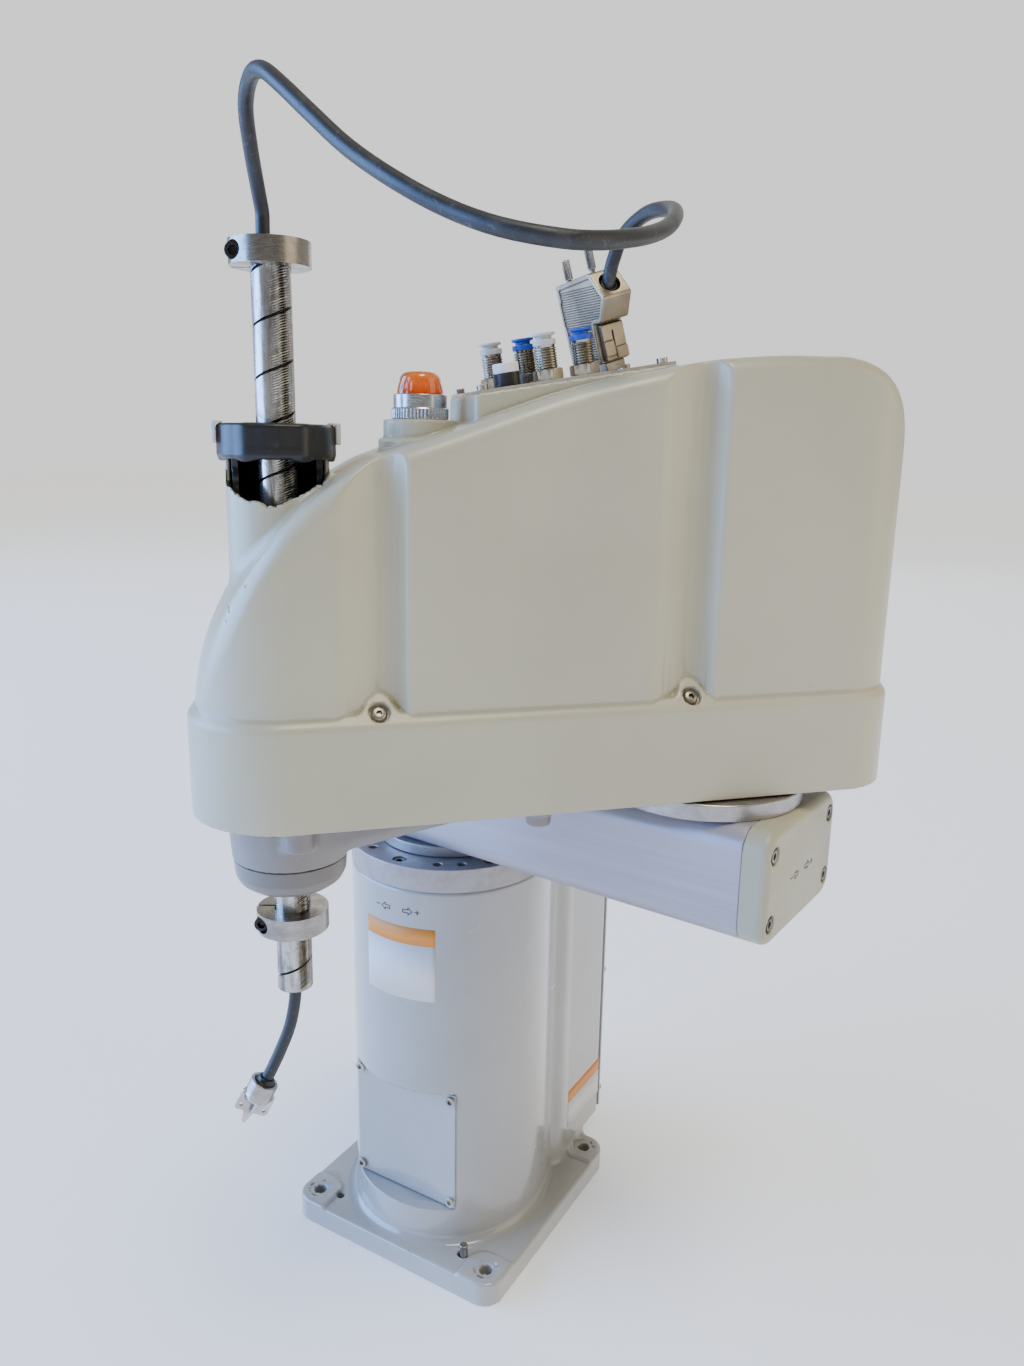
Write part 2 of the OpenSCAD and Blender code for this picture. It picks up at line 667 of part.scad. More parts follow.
// A toothed belt from a motor pulley to a nut pulley on the tool axis
module belt_loop(r1, r2, t) {
    hull() {
        translate([t, 0]) circle(r1, $fn = 32);
        translate([shaft_t, 0]) circle(r2, $fn = 32);
    }
}
module belt(t, z) {
    on_arm2() translate([0, 0, z]) linear_extrude(belt_w) difference() {
        belt_loop(motor_pulley_r + 0.4 + belt_t, nut_pulley_r + 0.4 + belt_t, t);
        belt_loop(motor_pulley_r + 0.4, nut_pulley_r + 0.4, t);
    }
}
module j3_belt() { color("black") belt(motor3_t, ball_belt_z); }
module j4_belt() { color("black") belt(motor4_t, spline_belt_z); }
module motor_pulley(t, z) {
    on_arm2() translate([t, 0, z]) {
        translate([0, 0, -0.5]) cylinder(r = motor_pulley_r, h = belt_w + 1);
        translate([0, 0, belt_w]) cylinder(r = 5, h = bracket_top - z - belt_w - 1);
    }
}
module j3_motor_pulley() { color("silver") motor_pulley(motor3_t, ball_belt_z); }
module j4_motor_pulley() { color("silver") motor_pulley(motor4_t, spline_belt_z); }
module spline_bearing() {
    color("silver") on_shaft(nose_seam + 4) ring(bearing_r, spline_nut_r + fit_gap, 18);
}
module spline_nut() {
    color("silver") on_shaft(nose_seam + 1)
        ring(spline_nut_r, shaft_r + fit_gap, spline_belt_z + belt_w + 3 - nose_seam);
}
module spline_nut_pulley() {
    color("silver") on_shaft(spline_belt_z - 0.5) ring(nut_pulley_r, spline_nut_r, belt_w + 1);
}
module ball_nut_housing() {
    color("silver") on_arm2() difference() {
        union() {
            translate([shaft_t, 0, bracket_z]) cylinder(r = 28, h = 10);
            translate([shaft_t - 6, -41, bracket_z]) cube([12, 82, 8]);
        }
        translate([shaft_t, 0, bracket_z - 1]) cylinder(r = ball_journal_r + fit_gap, h = 20);
    }
}
module ball_nut() {
    color("silver") {
        on_shaft(ball_belt_z - 2) ring(ball_nut_r, shaft_r + fit_gap, 42);
        on_shaft(bracket_z) ring(ball_journal_r, ball_nut_r - 1, 10);
    }
}
module ball_nut_pulley() {
    color("silver") on_shaft(ball_belt_z - 0.5) ring(nut_pulley_r, ball_nut_r, belt_w + 1);
}

// ---- Tool shaft ----

// Black stop at the head of the tower, with the half sleeve that shields the shaft below it
module tower_cap() {
    color("black") on_arm2() translate([shaft_t, 0, 0]) {
        translate([0, 0, cap_low]) ring(30, 12.5, cap_high - cap_low);
        difference() {
            translate([0, 0, 545]) ring(tower_r - 3, 19.5, cap_low - 545);
            translate([-30, 4, 540]) cube([60, 40, 60]);
        }
    }
}
module tower_cap_clips() {
    color("white") on_arm2() for (t = [-29, 29])
        translate([shaft_t + t, 0, cap_high - 10]) difference() {
            translate([-3, -6, 0]) cube([6, 12, 11]);
            translate([-t, 0, -1]) cylinder(r = 30, h = 11);
        }
}
module spline_shaft() {
    color("lightgray") on_shaft(shaft_low) ring(shaft_r, shaft_bore_r, shaft_top - shaft_low);
}
// Split clamp collar with the counterbore of its screw
module clamp_collar() {
    difference() {
        ring(collar_r, shaft_r, collar_t);
        translate([shaft_r - 2, -0.8, -1]) cube([collar_r, 1.6, collar_t + 2]);
        translate([15, 8, collar_t / 2]) rotate([-90, 0, 0]) cylinder(r = 4.5, h = 20);
        translate([15, -18, collar_t / 2]) rotate([-90, 0, 0]) cylinder(r = 2.5, h = 30);
    }
}
module collar_at(z) {
    color("silver") on_shaft(z) rotate([0, 0, collar_turn]) clamp_collar();
}
module upper_collar() { collar_at(upper_collar_z); }
module lower_collar() { collar_at(lower_collar_z); }
module collar_screws() {
    color("dimgray") for (z = [lower_collar_z, upper_collar_z]) on_shaft(z + collar_t / 2)
        rotate([0, 0, collar_turn]) translate([15, 8, 0]) rotate([-90, 0, 0]) cap_screw(4.2, 4, 2.5, 18);
}

// ---- Tool lead ----

module lead_upper() {
    color("black") on_arm2() tube(whole_path(upper_route, 2), lead_d / 2, lead_sides);
}
module lead_lower() {
    color("black") on_arm2() tube(whole_path(lower_route, 2), lead_d / 2, lead_sides);
}
// Round plug with a split metal shell
module lead_plug() {
    last = lower_route[len(lower_route) - 1];
    color("silver") on_arm2() translate(last) rotate([0, 180 - atan(-plug_dir[0] / plug_dir[2]), 0]) {
        cylinder(r = 8, h = 14);
        translate([-9, -1.5, 6]) cube([18, 3, 22]);
        translate([-2, -8, 2]) cube([4, 16, 18]);
    }
}

base_casting();
base_access_cover();
base_panel_screws();
base_rear_panel();
power_connector();
signal_connector();
base_air_fittings();
dowel_pin();
j1_motor();
j1_reducer();
j1_flange_ring();
j1_flange_bolts();
j1_output_flange();
arm1_beam();
arm1_outer_cap();
arm1_inner_cap();
arm1_cap_screws();
j2_flange_ring();
j2_reducer();
arm2_casting();
nose_cap();
arm2_cover();
arm2_cover_screws();
connector_plate();
connector_plate_screws();
lamp_base();
lamp_lens();
brake_button_body();
brake_button();
air_fitting_bodies();
release_ring_1();
release_ring_2();
release_ring_3();
release_ring_4();
dsub_socket();
dsub_hood();
hood_thumbscrews();
j2_motor();
motor_bracket();
j3_motor();
j4_motor();
j3_belt();
j4_belt();
j3_motor_pulley();
j4_motor_pulley();
spline_bearing();
spline_nut();
spline_nut_pulley();
ball_nut_housing();
ball_nut();
ball_nut_pulley();
tower_cap();
tower_cap_clips();
spline_shaft();
upper_collar();
lower_collar();
collar_screws();
lead_upper();
lead_lower();
lead_plug();
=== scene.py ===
"""Looks of a desk-size SCARA robot arm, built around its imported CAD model.

Shapes are worked out in millimetres in the frame of the part they belong to, and
placed in the model's own frame in metres. Curved castings and mouldings come from
signed distance functions, and turned parts from profiles.
"""
import json
import math
from functools import reduce
from itertools import product
import bmesh
import bpy
import numpy as np
from mathutils import Matrix, Vector

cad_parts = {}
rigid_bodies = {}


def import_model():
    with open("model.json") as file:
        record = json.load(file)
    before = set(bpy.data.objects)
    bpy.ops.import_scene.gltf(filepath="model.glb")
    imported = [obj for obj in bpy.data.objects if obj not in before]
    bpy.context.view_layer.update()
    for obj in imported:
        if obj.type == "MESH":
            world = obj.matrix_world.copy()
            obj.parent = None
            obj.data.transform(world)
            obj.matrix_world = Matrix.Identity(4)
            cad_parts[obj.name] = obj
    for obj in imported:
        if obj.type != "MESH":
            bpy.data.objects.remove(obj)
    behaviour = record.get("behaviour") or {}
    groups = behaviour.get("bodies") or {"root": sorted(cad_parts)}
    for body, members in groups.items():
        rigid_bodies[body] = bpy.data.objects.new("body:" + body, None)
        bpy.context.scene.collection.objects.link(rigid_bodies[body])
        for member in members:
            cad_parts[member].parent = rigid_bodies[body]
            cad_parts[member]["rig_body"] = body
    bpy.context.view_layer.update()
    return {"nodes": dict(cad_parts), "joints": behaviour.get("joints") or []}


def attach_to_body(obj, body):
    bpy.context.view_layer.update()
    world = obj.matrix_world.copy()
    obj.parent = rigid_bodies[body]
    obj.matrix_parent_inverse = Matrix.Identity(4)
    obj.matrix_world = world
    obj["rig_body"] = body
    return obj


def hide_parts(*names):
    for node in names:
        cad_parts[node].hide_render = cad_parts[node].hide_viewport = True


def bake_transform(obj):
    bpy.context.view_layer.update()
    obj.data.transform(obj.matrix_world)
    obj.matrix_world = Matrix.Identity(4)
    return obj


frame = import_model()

scene = bpy.context.scene
joints = {j["name"]: j for j in frame["joints"]}
slot_of = {name: node.data.materials[0].name for name, node in frame["nodes"].items()}


def new_object(name, data):
    """A new object in the scene."""
    made = bpy.data.objects.new(name, data)
    scene.collection.objects.link(made)
    return made


# ---- Places ----

def move(x, y, z):
    """A shift, in millimetres."""
    m = np.eye(4)
    m[:3, 3] = x, y, z
    return m


def turn(axis, degrees):
    """A turn about x, y or z."""
    return np.array(Matrix.Rotation(math.radians(degrees), 4, axis.upper()))


def millimetres(joint):
    return np.array(joints[joint]["pos_m"]) * 1000


BASE = np.eye(4)
J2 = millimetres("j2_elbow")
J3 = millimetres("tool_roll")
ARM1_LEN = math.hypot(J2[0], J2[1])
ARM2_LEN = math.hypot(*(J3 - J2)[:2])
ARM1 = turn("z", math.degrees(math.atan2(J2[1], J2[0])))
ARM2 = move(J2[0], J2[1], 0) @ turn("z", math.degrees(math.atan2(*(J3 - J2)[1::-1])))
SHAFT = ARM2 @ move(ARM2_LEN, 0, 0)
PLATE_TILT = 9.65
PLATE_START, PLATE_END, PLATE_TOP = 45, 154, 641
LAMP_T, TURRET_TOP = 176, 608.5


def plate_z(t):
    """Height of the sloping connector plate's top face."""
    return PLATE_TOP - math.tan(math.radians(PLATE_TILT)) * (t - PLATE_START)


def on_plate(t, s):
    return ARM2 @ move(t, s, plate_z(t)) @ turn("y", PLATE_TILT)


# The hood stands on its socket, turned and leaning, with the lead's outlet high on one side
HOOD = on_plate(74, -4) @ turn("y", -PLATE_TILT) @ turn("z", 11) @ turn("y", 17)


def placed(points, matrix):
    """Points in metres in the model's frame, from millimetres in a part's frame."""
    points = np.asarray(points, float).reshape(-1, 3)
    return (points @ matrix[:3, :3].T + matrix[:3, 3]) / 1000


# ---- Camera, floor and light ----

CAMERA_PLACE = (0.5962, 0.4019, 0.5989)
CAMERA_YAW, CAMERA_PITCH, CAMERA_ROLL = 210.48, 13.33, 1.0
yaw, pitch, roll = (math.radians(a) for a in (CAMERA_YAW, CAMERA_PITCH, CAMERA_ROLL))
ahead = Vector((math.cos(pitch) * math.cos(yaw), math.cos(pitch) * math.sin(yaw), -math.sin(pitch)))
side = Vector((math.sin(yaw), -math.cos(yaw), 0))
above = side.cross(ahead)
camera_x = math.cos(roll) * side + math.sin(roll) * above
camera_y = math.cos(roll) * above - math.sin(roll) * side
camera = new_object("camera", bpy.data.cameras.new("camera"))
camera.matrix_world = Matrix((camera_x, camera_y, -ahead)).transposed().to_4x4()
camera.location = CAMERA_PLACE
camera.data.lens = 26.987
camera.data.sensor_width = 36
camera.data.clip_start = 0.01
scene.camera = camera

TARGET = Vector((0.07, 0.1, 0.38))


def area_light(name, azimuth, height, distance, size, power, colour):
    """A soft light round the object: azimuth 0 is from the camera, and 90 from its right."""
    a = math.radians(azimuth)
    flat = Vector((-ahead.x, -ahead.y, 0)).normalized()
    toward = math.cos(a) * flat + math.sin(a) * side
    place = TARGET + toward * distance + Vector((0, 0, height))
    data = bpy.data.lights.new(name, "AREA")
    data.shape = "RECTANGLE"
    data.size, data.size_y = size
    data.energy = power
    data.color = colour
    light = new_object(name, data)
    light.location = place
    light.rotation_mode = "QUATERNION"
    light.rotation_quaternion = (place - TARGET).to_track_quat("Z", "Y")


area_light("key_window", -86, 0.5, 4.5, (5.1, 5.1), 900, (0.2, 0.44, 1.0))
area_light("warm_fill", 72, 1.2, 4.5, (2.8, 3.8), 50, (1.0, 0.84, 0.58))
area_light("back_rim", 170, 2.0, 4.5, (4.0, 2.5), 31, (0.95, 0.97, 1.0))
sun = new_object("overhead", bpy.data.lights.new("overhead", "SUN"))
sun.data.energy = 1.85
sun.data.angle = math.radians(22)
sun.data.color = (1.0, 0.91, 0.72)
sun.rotation_euler = Vector((0.18, 0.3, 1)).to_track_quat("Z", "Y").to_euler()

# The backdrop is as pale as the lit floor. Its light is softer, and weakest from behind the camera
world = bpy.data.worlds.new("studio")
scene.world = world
world.use_nodes = True
world_nodes = world.node_tree.nodes
soft_sky = world_nodes["Background"]
soft_sky.inputs["Color"].default_value = (1.0, 0.955, 0.84, 1)
facing = world_nodes.new("ShaderNodeVectorMath")
facing.operation = "DOT_PRODUCT"
facing.inputs[1].default_value = (-ahead.x, -ahead.y, 0)
sky_place = world_nodes.new("ShaderNodeTexCoord")
sky_level = world_nodes.new("ShaderNodeMapRange")
for socket, value in (("From Min", 0.1), ("From Max", 0.95), ("To Min", 0.5), ("To Max", 0.26)):
    sky_level.inputs[socket].default_value = value
backdrop = world_nodes.new("ShaderNodeBackground")
backdrop.inputs["Color"].default_value = (0.985, 0.99, 1.0, 1)
backdrop.inputs["Strength"].default_value = 1.15
choose = world_nodes.new("ShaderNodeMixShader")
ray_kind = world_nodes.new("ShaderNodeLightPath")
for source, socket in ((ray_kind.outputs["Is Camera Ray"], choose.inputs[0]),
                       (soft_sky.outputs[0], choose.inputs[1]),
                       (sky_place.outputs["Generated"], facing.inputs[0]),
                       (facing.outputs["Value"], sky_level.inputs["Value"]),
                       (sky_level.outputs["Result"], soft_sky.inputs["Strength"]),
                       (backdrop.outputs[0], choose.inputs[2]),
                       (choose.outputs[0], world_nodes["World Output"].inputs["Surface"])):
    world.node_tree.links.new(source, socket)


# ---- Materials ----

class Nodes:
    """Short calls for making a material's node tree."""

    def __init__(self, name):
        self.material = bpy.data.materials.new(name)
        self.material.use_nodes = True
        self.tree = self.material.node_tree
        self.shader = self.tree.nodes["Principled BSDF"]
        self.place = self.node("ShaderNodeTexCoord").outputs["Object"]

    def node(self, kind, **fields):
        made = self.tree.nodes.new(kind)
        for key, value in fields.items():
            setattr(made, key, value)
        return made

    def link(self, source, socket):
        if isinstance(source, (int, float, tuple)):
            socket.default_value = source
        else:
            self.tree.links.new(source, socket)

    def math(self, operation, a, b=0.0, clamp=False):
        made = self.node("ShaderNodeMath", operation=operation, use_clamp=clamp)
        self.link(a, made.inputs[0])
        self.link(b, made.inputs[1])
        return made.outputs[0]

    def stretch(self, scale, turned=(0, 0, 0), source=None):
        made = self.node("ShaderNodeMapping")
        self.link(source or self.place, made.inputs["Vector"])
        made.inputs["Scale"].default_value = scale
        made.inputs["Rotation"].default_value = turned
        return made.outputs[0]

    def noise(self, scale, detail=3.0, rough=0.55, source=None, distortion=0.0):
        """Noise from 0 to 1, with about this many features in a metre."""
        made = self.node("ShaderNodeTexNoise")
        self.link(source or self.place, made.inputs["Vector"])
        made.inputs["Scale"].default_value = scale
        made.inputs["Detail"].default_value = detail
        made.inputs["Roughness"].default_value = rough
        made.inputs["Distortion"].default_value = distortion
        return made.outputs["Fac"]

    def ramp(self, source, low, high, out_low=0.0, out_high=1.0):
        made = self.node("ShaderNodeMapRange", interpolation_type="SMOOTHSTEP")
        self.link(source, made.inputs["Value"])
        for socket, value in zip(("From Min", "From Max", "To Min", "To Max"),
                                 (low, high, out_low, out_high)):
            made.inputs[socket].default_value = value
        return made.outputs["Result"]

    def mix(self, factor, a, b):
        made = self.node("ShaderNodeMix", data_type="RGBA")
        self.link(factor, made.inputs["Factor"])
        self.link(a, made.inputs[6])
        self.link(b, made.inputs[7])
        return made.outputs[2]

    def tint(self, shade, factor, share, colour):
        """The shade with this share of another colour where the factor is 1."""
        return self.mix(self.math("MULTIPLY", factor, share), shade, colour)

    def attribute(self, name):
        return self.node("ShaderNodeAttribute", attribute_name=name).outputs["Fac"]

    def bump(self, height, distance, strength=1.0, after=None):
        made = self.node("ShaderNodeBump")
        made.inputs["Distance"].default_value = distance
        made.inputs["Strength"].default_value = strength
        self.link(height, made.inputs["Height"])
        if after:
            self.link(after, made.inputs["Normal"])
        return made.outputs["Normal"]

    def finish(self, colour, rough, normal=None, **fixed):
        self.link(colour, self.shader.inputs["Base Color"])
        self.link(rough, self.shader.inputs["Roughness"])
        if normal:
            self.link(normal, self.shader.inputs["Normal"])
        for key, value in fixed.items():
            self.shader.inputs[key.replace("_", " ")].default_value = value
        return self.material


def rgb(r, g, b):
    """A colour from its usual 0 to 255 values."""
    return tuple(((c / 255) ** 2.2) for c in (r, g, b)) + (1.0,)


def dimmed(colour, share):
    return tuple(c * share for c in colour[:3]) + (1.0,)


def coated(name, colour, dirt_and_shade, rough, peel, peel_depth, wear=None, spots=0.5, **fixed):
    """Paint or moulded plastic: mottled, finely textured, darkened in corners as painted shade, worn on
    edges.
    """
    n = Nodes(name)
    mottle = n.ramp(n.noise(9, 4), 0.3, 0.7)
    shade = n.tint(colour, mottle, 0.35, dirt_and_shade)
    smear = n.ramp(n.noise(26, 6, 0.7, distortion=0.6), 0.58, 0.78)
    shade = n.tint(shade, smear, 0.22 * spots, dirt_and_shade)
    speck = n.ramp(n.noise(420, 2, 0.5), 0.72, 0.78)
    shade = n.tint(shade, speck, 0.3 * spots, dimmed(dirt_and_shade, 0.3))
    # Painted shade: concave corners and creases are darkened toward a dimmed dirt colour.
    corner = n.ramp(n.attribute("edge"), -0.5, -0.1, 0.4, 0.0)
    shade = n.mix(corner, shade, dimmed(dirt_and_shade, 0.55))
    if wear:
        rubbed = n.math("MULTIPLY", n.ramp(n.attribute("edge"), 0.3, 0.7),
                        n.ramp(n.noise(130, 5, 0.7), 0.6, 0.7))
        shade = n.tint(shade, rubbed, 0.6, wear)
    roughness = n.math("ADD", n.ramp(n.noise(40, 5, 0.6), 0.3, 0.7, rough - 0.06, rough + 0.07),
                       n.math("MULTIPLY", smear, 0.08))
    fine = n.bump(n.noise(peel, 2, 0.5), peel_depth)
    wide = n.bump(n.noise(60, 2), 0.00012, after=fine)
    return n.finish(shade, roughness, wide, **fixed)


def metal(name, colour, tint, rough, spread=0.12, grain=(1, 1, 1), turned=(0, 0, 0), shade_and_grime=0.4,
          grain_scale=300, **fixed):
    """Bare metal with machining lines, smudges and grime spots, and painted shade where the surface is
    hollow.
    """
    n = Nodes(name)
    lines = n.noise(grain_scale, 4, 0.6, source=n.stretch(grain, turned))
    smudge = n.noise(45, 5, 0.65, distortion=0.4)
    shade = n.mix(n.ramp(smudge, 0.35, 0.7), colour, tint)
    # Painted shade: hollows are darkened to near black.
    hollow = n.ramp(n.attribute("edge"), -0.4, -0.05, shade_and_grime, 0.0)
    shade = n.mix(hollow, shade, (0.03, 0.026, 0.022, 1))
    shade = n.mix(n.ramp(n.noise(170, 5, 0.7), 0.66, 0.78, 0, shade_and_grime * 0.5), shade, (0.12, 0.1, 0.085, 1))
    roughness = n.math("ADD", n.ramp(smudge, 0.3, 0.75, rough, rough + spread),
                       n.ramp(lines, 0.3, 0.7, -0.04, 0.05))
    normal = n.bump(lines, 0.00002, 0.6)
    return n.finish(shade, roughness, normal, Metallic=1.0, **fixed)


def lathe_metal(name, centre, colour, tint, rough, shade_and_grime=0.25, scuffs=0.12, spread=0.1, metallic=1.0):
    """Turned metal: fine rings about an upright axis, in x and y metres, with painted shade in hollows.
    """
    n = Nodes(name)
    split = n.node("ShaderNodeSeparateXYZ")
    n.link(n.place, split.inputs[0])
    dx = n.math("SUBTRACT", split.outputs["X"], float(centre[0]))
    dy = n.math("SUBTRACT", split.outputs["Y"], float(centre[1]))
    radius = n.math("SQRT", n.math("ADD", n.math("MULTIPLY", dx, dx), n.math("MULTIPLY", dy, dy)))
    join = n.node("ShaderNodeCombineXYZ")
    n.link(radius, join.inputs[0])
    n.link(split.outputs["Z"], join.inputs[1])
    n.link(n.math("MULTIPLY", n.math("ARCTAN2", dy, dx), 0.002), join.inputs[2])
    lines = n.noise(1700, 3, 0.6, source=join.outputs[0])
    smudge = n.noise(55, 5, 0.65, distortion=0.5)
    scuff = n.ramp(n.noise(420, 3, 0.6, source=n.stretch((1, 1, 0.25), (0.5, 0.3, 0.9))), 0.66, 0.72)
    shade = n.mix(n.ramp(smudge, 0.35, 0.7), colour, tint)
    # Painted shade: hollows are darkened to near black.
    shade = n.mix(n.ramp(n.attribute("edge"), -0.4, -0.05, shade_and_grime, 0.0), shade, (0.04, 0.035, 0.03, 1))
    shade = n.tint(shade, scuff, scuffs, dimmed(colour, 0.45))
    roughness = n.math("ADD", n.ramp(smudge, 0.3, 0.75, rough, rough + spread),
                       n.ramp(lines, 0.3, 0.7, -0.05, 0.08))
    return n.finish(shade, roughness, n.bump(lines, 0.000012, 0.8), Metallic=metallic)


def plastic(name, colour, rough, grain=1500, depth=0.00002, dust=0.3, **fixed):
    """Small moulded parts and rubber, with dust and rubbed patches."""
    n = Nodes(name)
    rub = n.ramp(n.noise(110, 6, 0.7, distortion=0.5), 0.55, 0.75)
    pale = tuple(min(1.0, c * 0.8 + 0.09) for c in colour[:3]) + (1,)
    shade = n.tint(colour, rub, dust, pale)
    shade = n.mix(n.ramp(n.noise(30, 3), 0.3, 0.7, 0.0, 0.25), shade, dimmed(colour, 0.7))
    roughness = n.math("ADD", n.ramp(n.noise(60, 4), 0.3, 0.7, rough - 0.05, rough + 0.06),
                       n.math("MULTIPLY", rub, 0.12))
    return n.finish(shade, roughness, n.bump(n.noise(grain, 3), depth), **fixed)


MATERIALS = {
    "base_paint": coated("paint_cool_white", rgb(171, 170, 167), rgb(147, 145, 140), 0.2, 330, 0.00009,
                         wear=rgb(120, 116, 110), spots=0.45, Coat_Weight=0.8, Coat_Roughness=0.05),
    "cover_shell": coated("moulding_ivory", rgb(184, 180, 157), rgb(164, 158, 134), 0.36, 1500, 0.00005,
                          spots=0.5, Coat_Weight=0.35, Coat_Roughness=0.28),
    "cap_plastic": coated("cap_pale_grey", rgb(172, 170, 148), rgb(150, 147, 126), 0.4, 1500, 0.00004,
                          spots=0.6),
    "nose_paint": coated("nose_grey_paint", rgb(122, 117, 113), rgb(102, 98, 93), 0.34, 700, 0.00006,
                         wear=rgb(140, 136, 128), spots=0.9),
    "cast_alloy": coated("casting_grey_paint", rgb(138, 133, 131), rgb(114, 109, 104), 0.42, 520, 0.00014,
                         wear=rgb(120, 118, 112), spots=1.0, Metallic=0.15),
    "machined_alloy": metal("alloy_plate", rgb(206, 202, 192), rgb(176, 170, 158), 0.3,
                            grain=(1, 0.05, 1), shade_and_grime=0.35),
    "ground_steel": metal("steel_ground", rgb(168, 165, 160), rgb(120, 114, 106), 0.2,
                          grain=(1, 1, 0.04), shade_and_grime=0.7, grain_scale=600),
    "screw_steel": metal("screw_zinc", rgb(190, 186, 178), rgb(140, 134, 124), 0.27, shade_and_grime=0.8,
                         grain_scale=900),
    "dark_steel": metal("screw_black_oxide", rgb(74, 72, 70), rgb(46, 44, 42), 0.36, shade_and_grime=0.8,
                        grain_scale=900),
    "motor_body": plastic("motor_dark_coat", rgb(58, 60, 64), 0.5, 700, 0.00008),
    "black_plastic": plastic("plastic_black", rgb(26, 26, 28), 0.36, 1300, 0.00003, dust=0.25),
    "belt_rubber": plastic("belt_black_rubber", rgb(24, 24, 25), 0.7, 2200, 0.00006, dust=0.5),
    "plug_shell": metal("plug_bright_nickel", rgb(206, 203, 200), rgb(160, 155, 150), 0.24, shade_and_grime=0.6,
                        grain_scale=700),
    "hood_nickel": metal("hood_satin_nickel", rgb(170, 158, 139), rgb(147, 136, 120), 0.36, shade_and_grime=0.6,
                         grain_scale=800),
    "ring_blue": plastic("ring_blue_plastic", rgb(38, 76, 186), 0.34, dust=0.1),
    "ring_grey": plastic("ring_pale_grey_plastic", rgb(198, 200, 198), 0.36, dust=0.1),
    "button_white": plastic("button_white_plastic", rgb(236, 236, 234), 0.32, dust=0.08),
    "clip_white": plastic("clip_milky_plastic", rgb(232, 232, 230), 0.38, dust=0.12,
                          Transmission_Weight=0.25, Subsurface_Weight=0.2),
}


def beam_material():
    """Anodised extrusion with streaks along the inner link."""
    n = Nodes("beam_anodised")
    heading = math.atan2(J2[1], J2[0])
    along = n.stretch((1, 1, 1), (0, 0, -heading))
    drawn = n.noise(900, 4, 0.6, source=n.stretch((0.012, 1, 1), source=along))
    wide = n.noise(70, 4, 0.6, source=n.stretch((0.03, 1, 1), source=along))
    smudge = n.noise(22, 5, 0.6, distortion=0.5)
    shade = n.mix(n.ramp(wide, 0.3, 0.7), rgb(168, 163, 171), rgb(154, 150, 158))
    shade = n.mix(n.ramp(drawn, 0.45, 0.75, 0, 0.35), shade, rgb(182, 177, 184))
    shade = n.mix(n.ramp(smudge, 0.58, 0.8, 0, 0.3), shade, rgb(138, 136, 140))
    roughness = n.math("ADD", n.ramp(drawn, 0.3, 0.7, 0.32, 0.42), n.ramp(smudge, 0.5, 0.8, 0, 0.1))
    return n.finish(shade, roughness, n.bump(drawn, 0.00003, 0.8), Metallic=0.35)


def shaft_material():
    """Ground ball-spline steel under a film of old grease, with painted shade almost black in its
    grooves.
    """
    n = Nodes("shaft_greasy_steel")
    streak = n.noise(140, 6, 0.7, source=n.stretch((1, 1, 0.09)), distortion=0.8)
    film = n.noise(60, 6, 0.7, distortion=1.0)
    fine = n.noise(900, 3, 0.6, source=n.stretch((1, 1, 0.03)))
    shade = n.mix(n.ramp(streak, 0.38, 0.66), rgb(204, 202, 198), rgb(118, 114, 109))
    shade = n.mix(n.ramp(film, 0.5, 0.72, 0, 0.6), shade, rgb(70, 64, 57))
    # Painted shade: the grooves, and the shaft's end faces, are darkened almost to black by their depth.
    groove = n.ramp(n.attribute("groove"), 0.05, 0.7)
    shade = n.tint(shade, groove, 0.92, (0.012, 0.011, 0.01, 1))
    roughness = n.math("ADD", n.ramp(streak, 0.3, 0.7, 0.14, 0.3), n.ramp(film, 0.45, 0.7, 0, 0.2))
    return n.finish(shade, roughness, n.bump(fine, 0.00002, 0.7), Metallic=0.92)


def jacket_material():
    """Flexible rubber cable jacket with scuffs and dust."""
    n = Nodes("jacket_black_rubber")
    scuff = n.ramp(n.noise(190, 6, 0.72, distortion=1.2), 0.56, 0.7)
    dust = n.ramp(n.noise(60, 4, 0.6), 0.45, 0.75)
    shade = n.tint(rgb(36, 38, 43), scuff, 0.5, rgb(96, 98, 104))
    shade = n.tint(shade, dust, 0.25, rgb(84, 84, 86))
    roughness = n.math("ADD", n.ramp(dust, 0, 1, 0.42, 0.56), n.math("MULTIPLY", scuff, 0.1))
    return n.finish(shade, roughness, n.bump(n.noise(1300, 4, 0.6), 0.00006))


def lens_material():
    """Orange moulded lamp dome: clear plastic, with painted shade low down and painted light at the top.
    """
    n = Nodes("lens_orange_plastic")
    split = n.node("ShaderNodeSeparateXYZ")
    n.link(n.place, split.inputs[0])
    # Painted light and shade: the dome is lighter at the top and darker low down.
    high = n.ramp(split.outputs["Z"], 0.621, 0.633)
    shade = n.mix(high, rgb(226, 84, 14), rgb(250, 132, 40))
    shade = n.mix(n.ramp(n.noise(200, 4), 0.4, 0.7, 0, 0.2), shade, rgb(190, 56, 6))
    return n.finish(shade, n.ramp(n.noise(90, 4), 0.3, 0.7, 0.07, 0.16), n.bump(n.noise(500, 2), 0.00004),
                    Transmission_Weight=0.55, Subsurface_Weight=0.1, IOR=1.45, Coat_Weight=0.6,
                    Coat_Roughness=0.05)


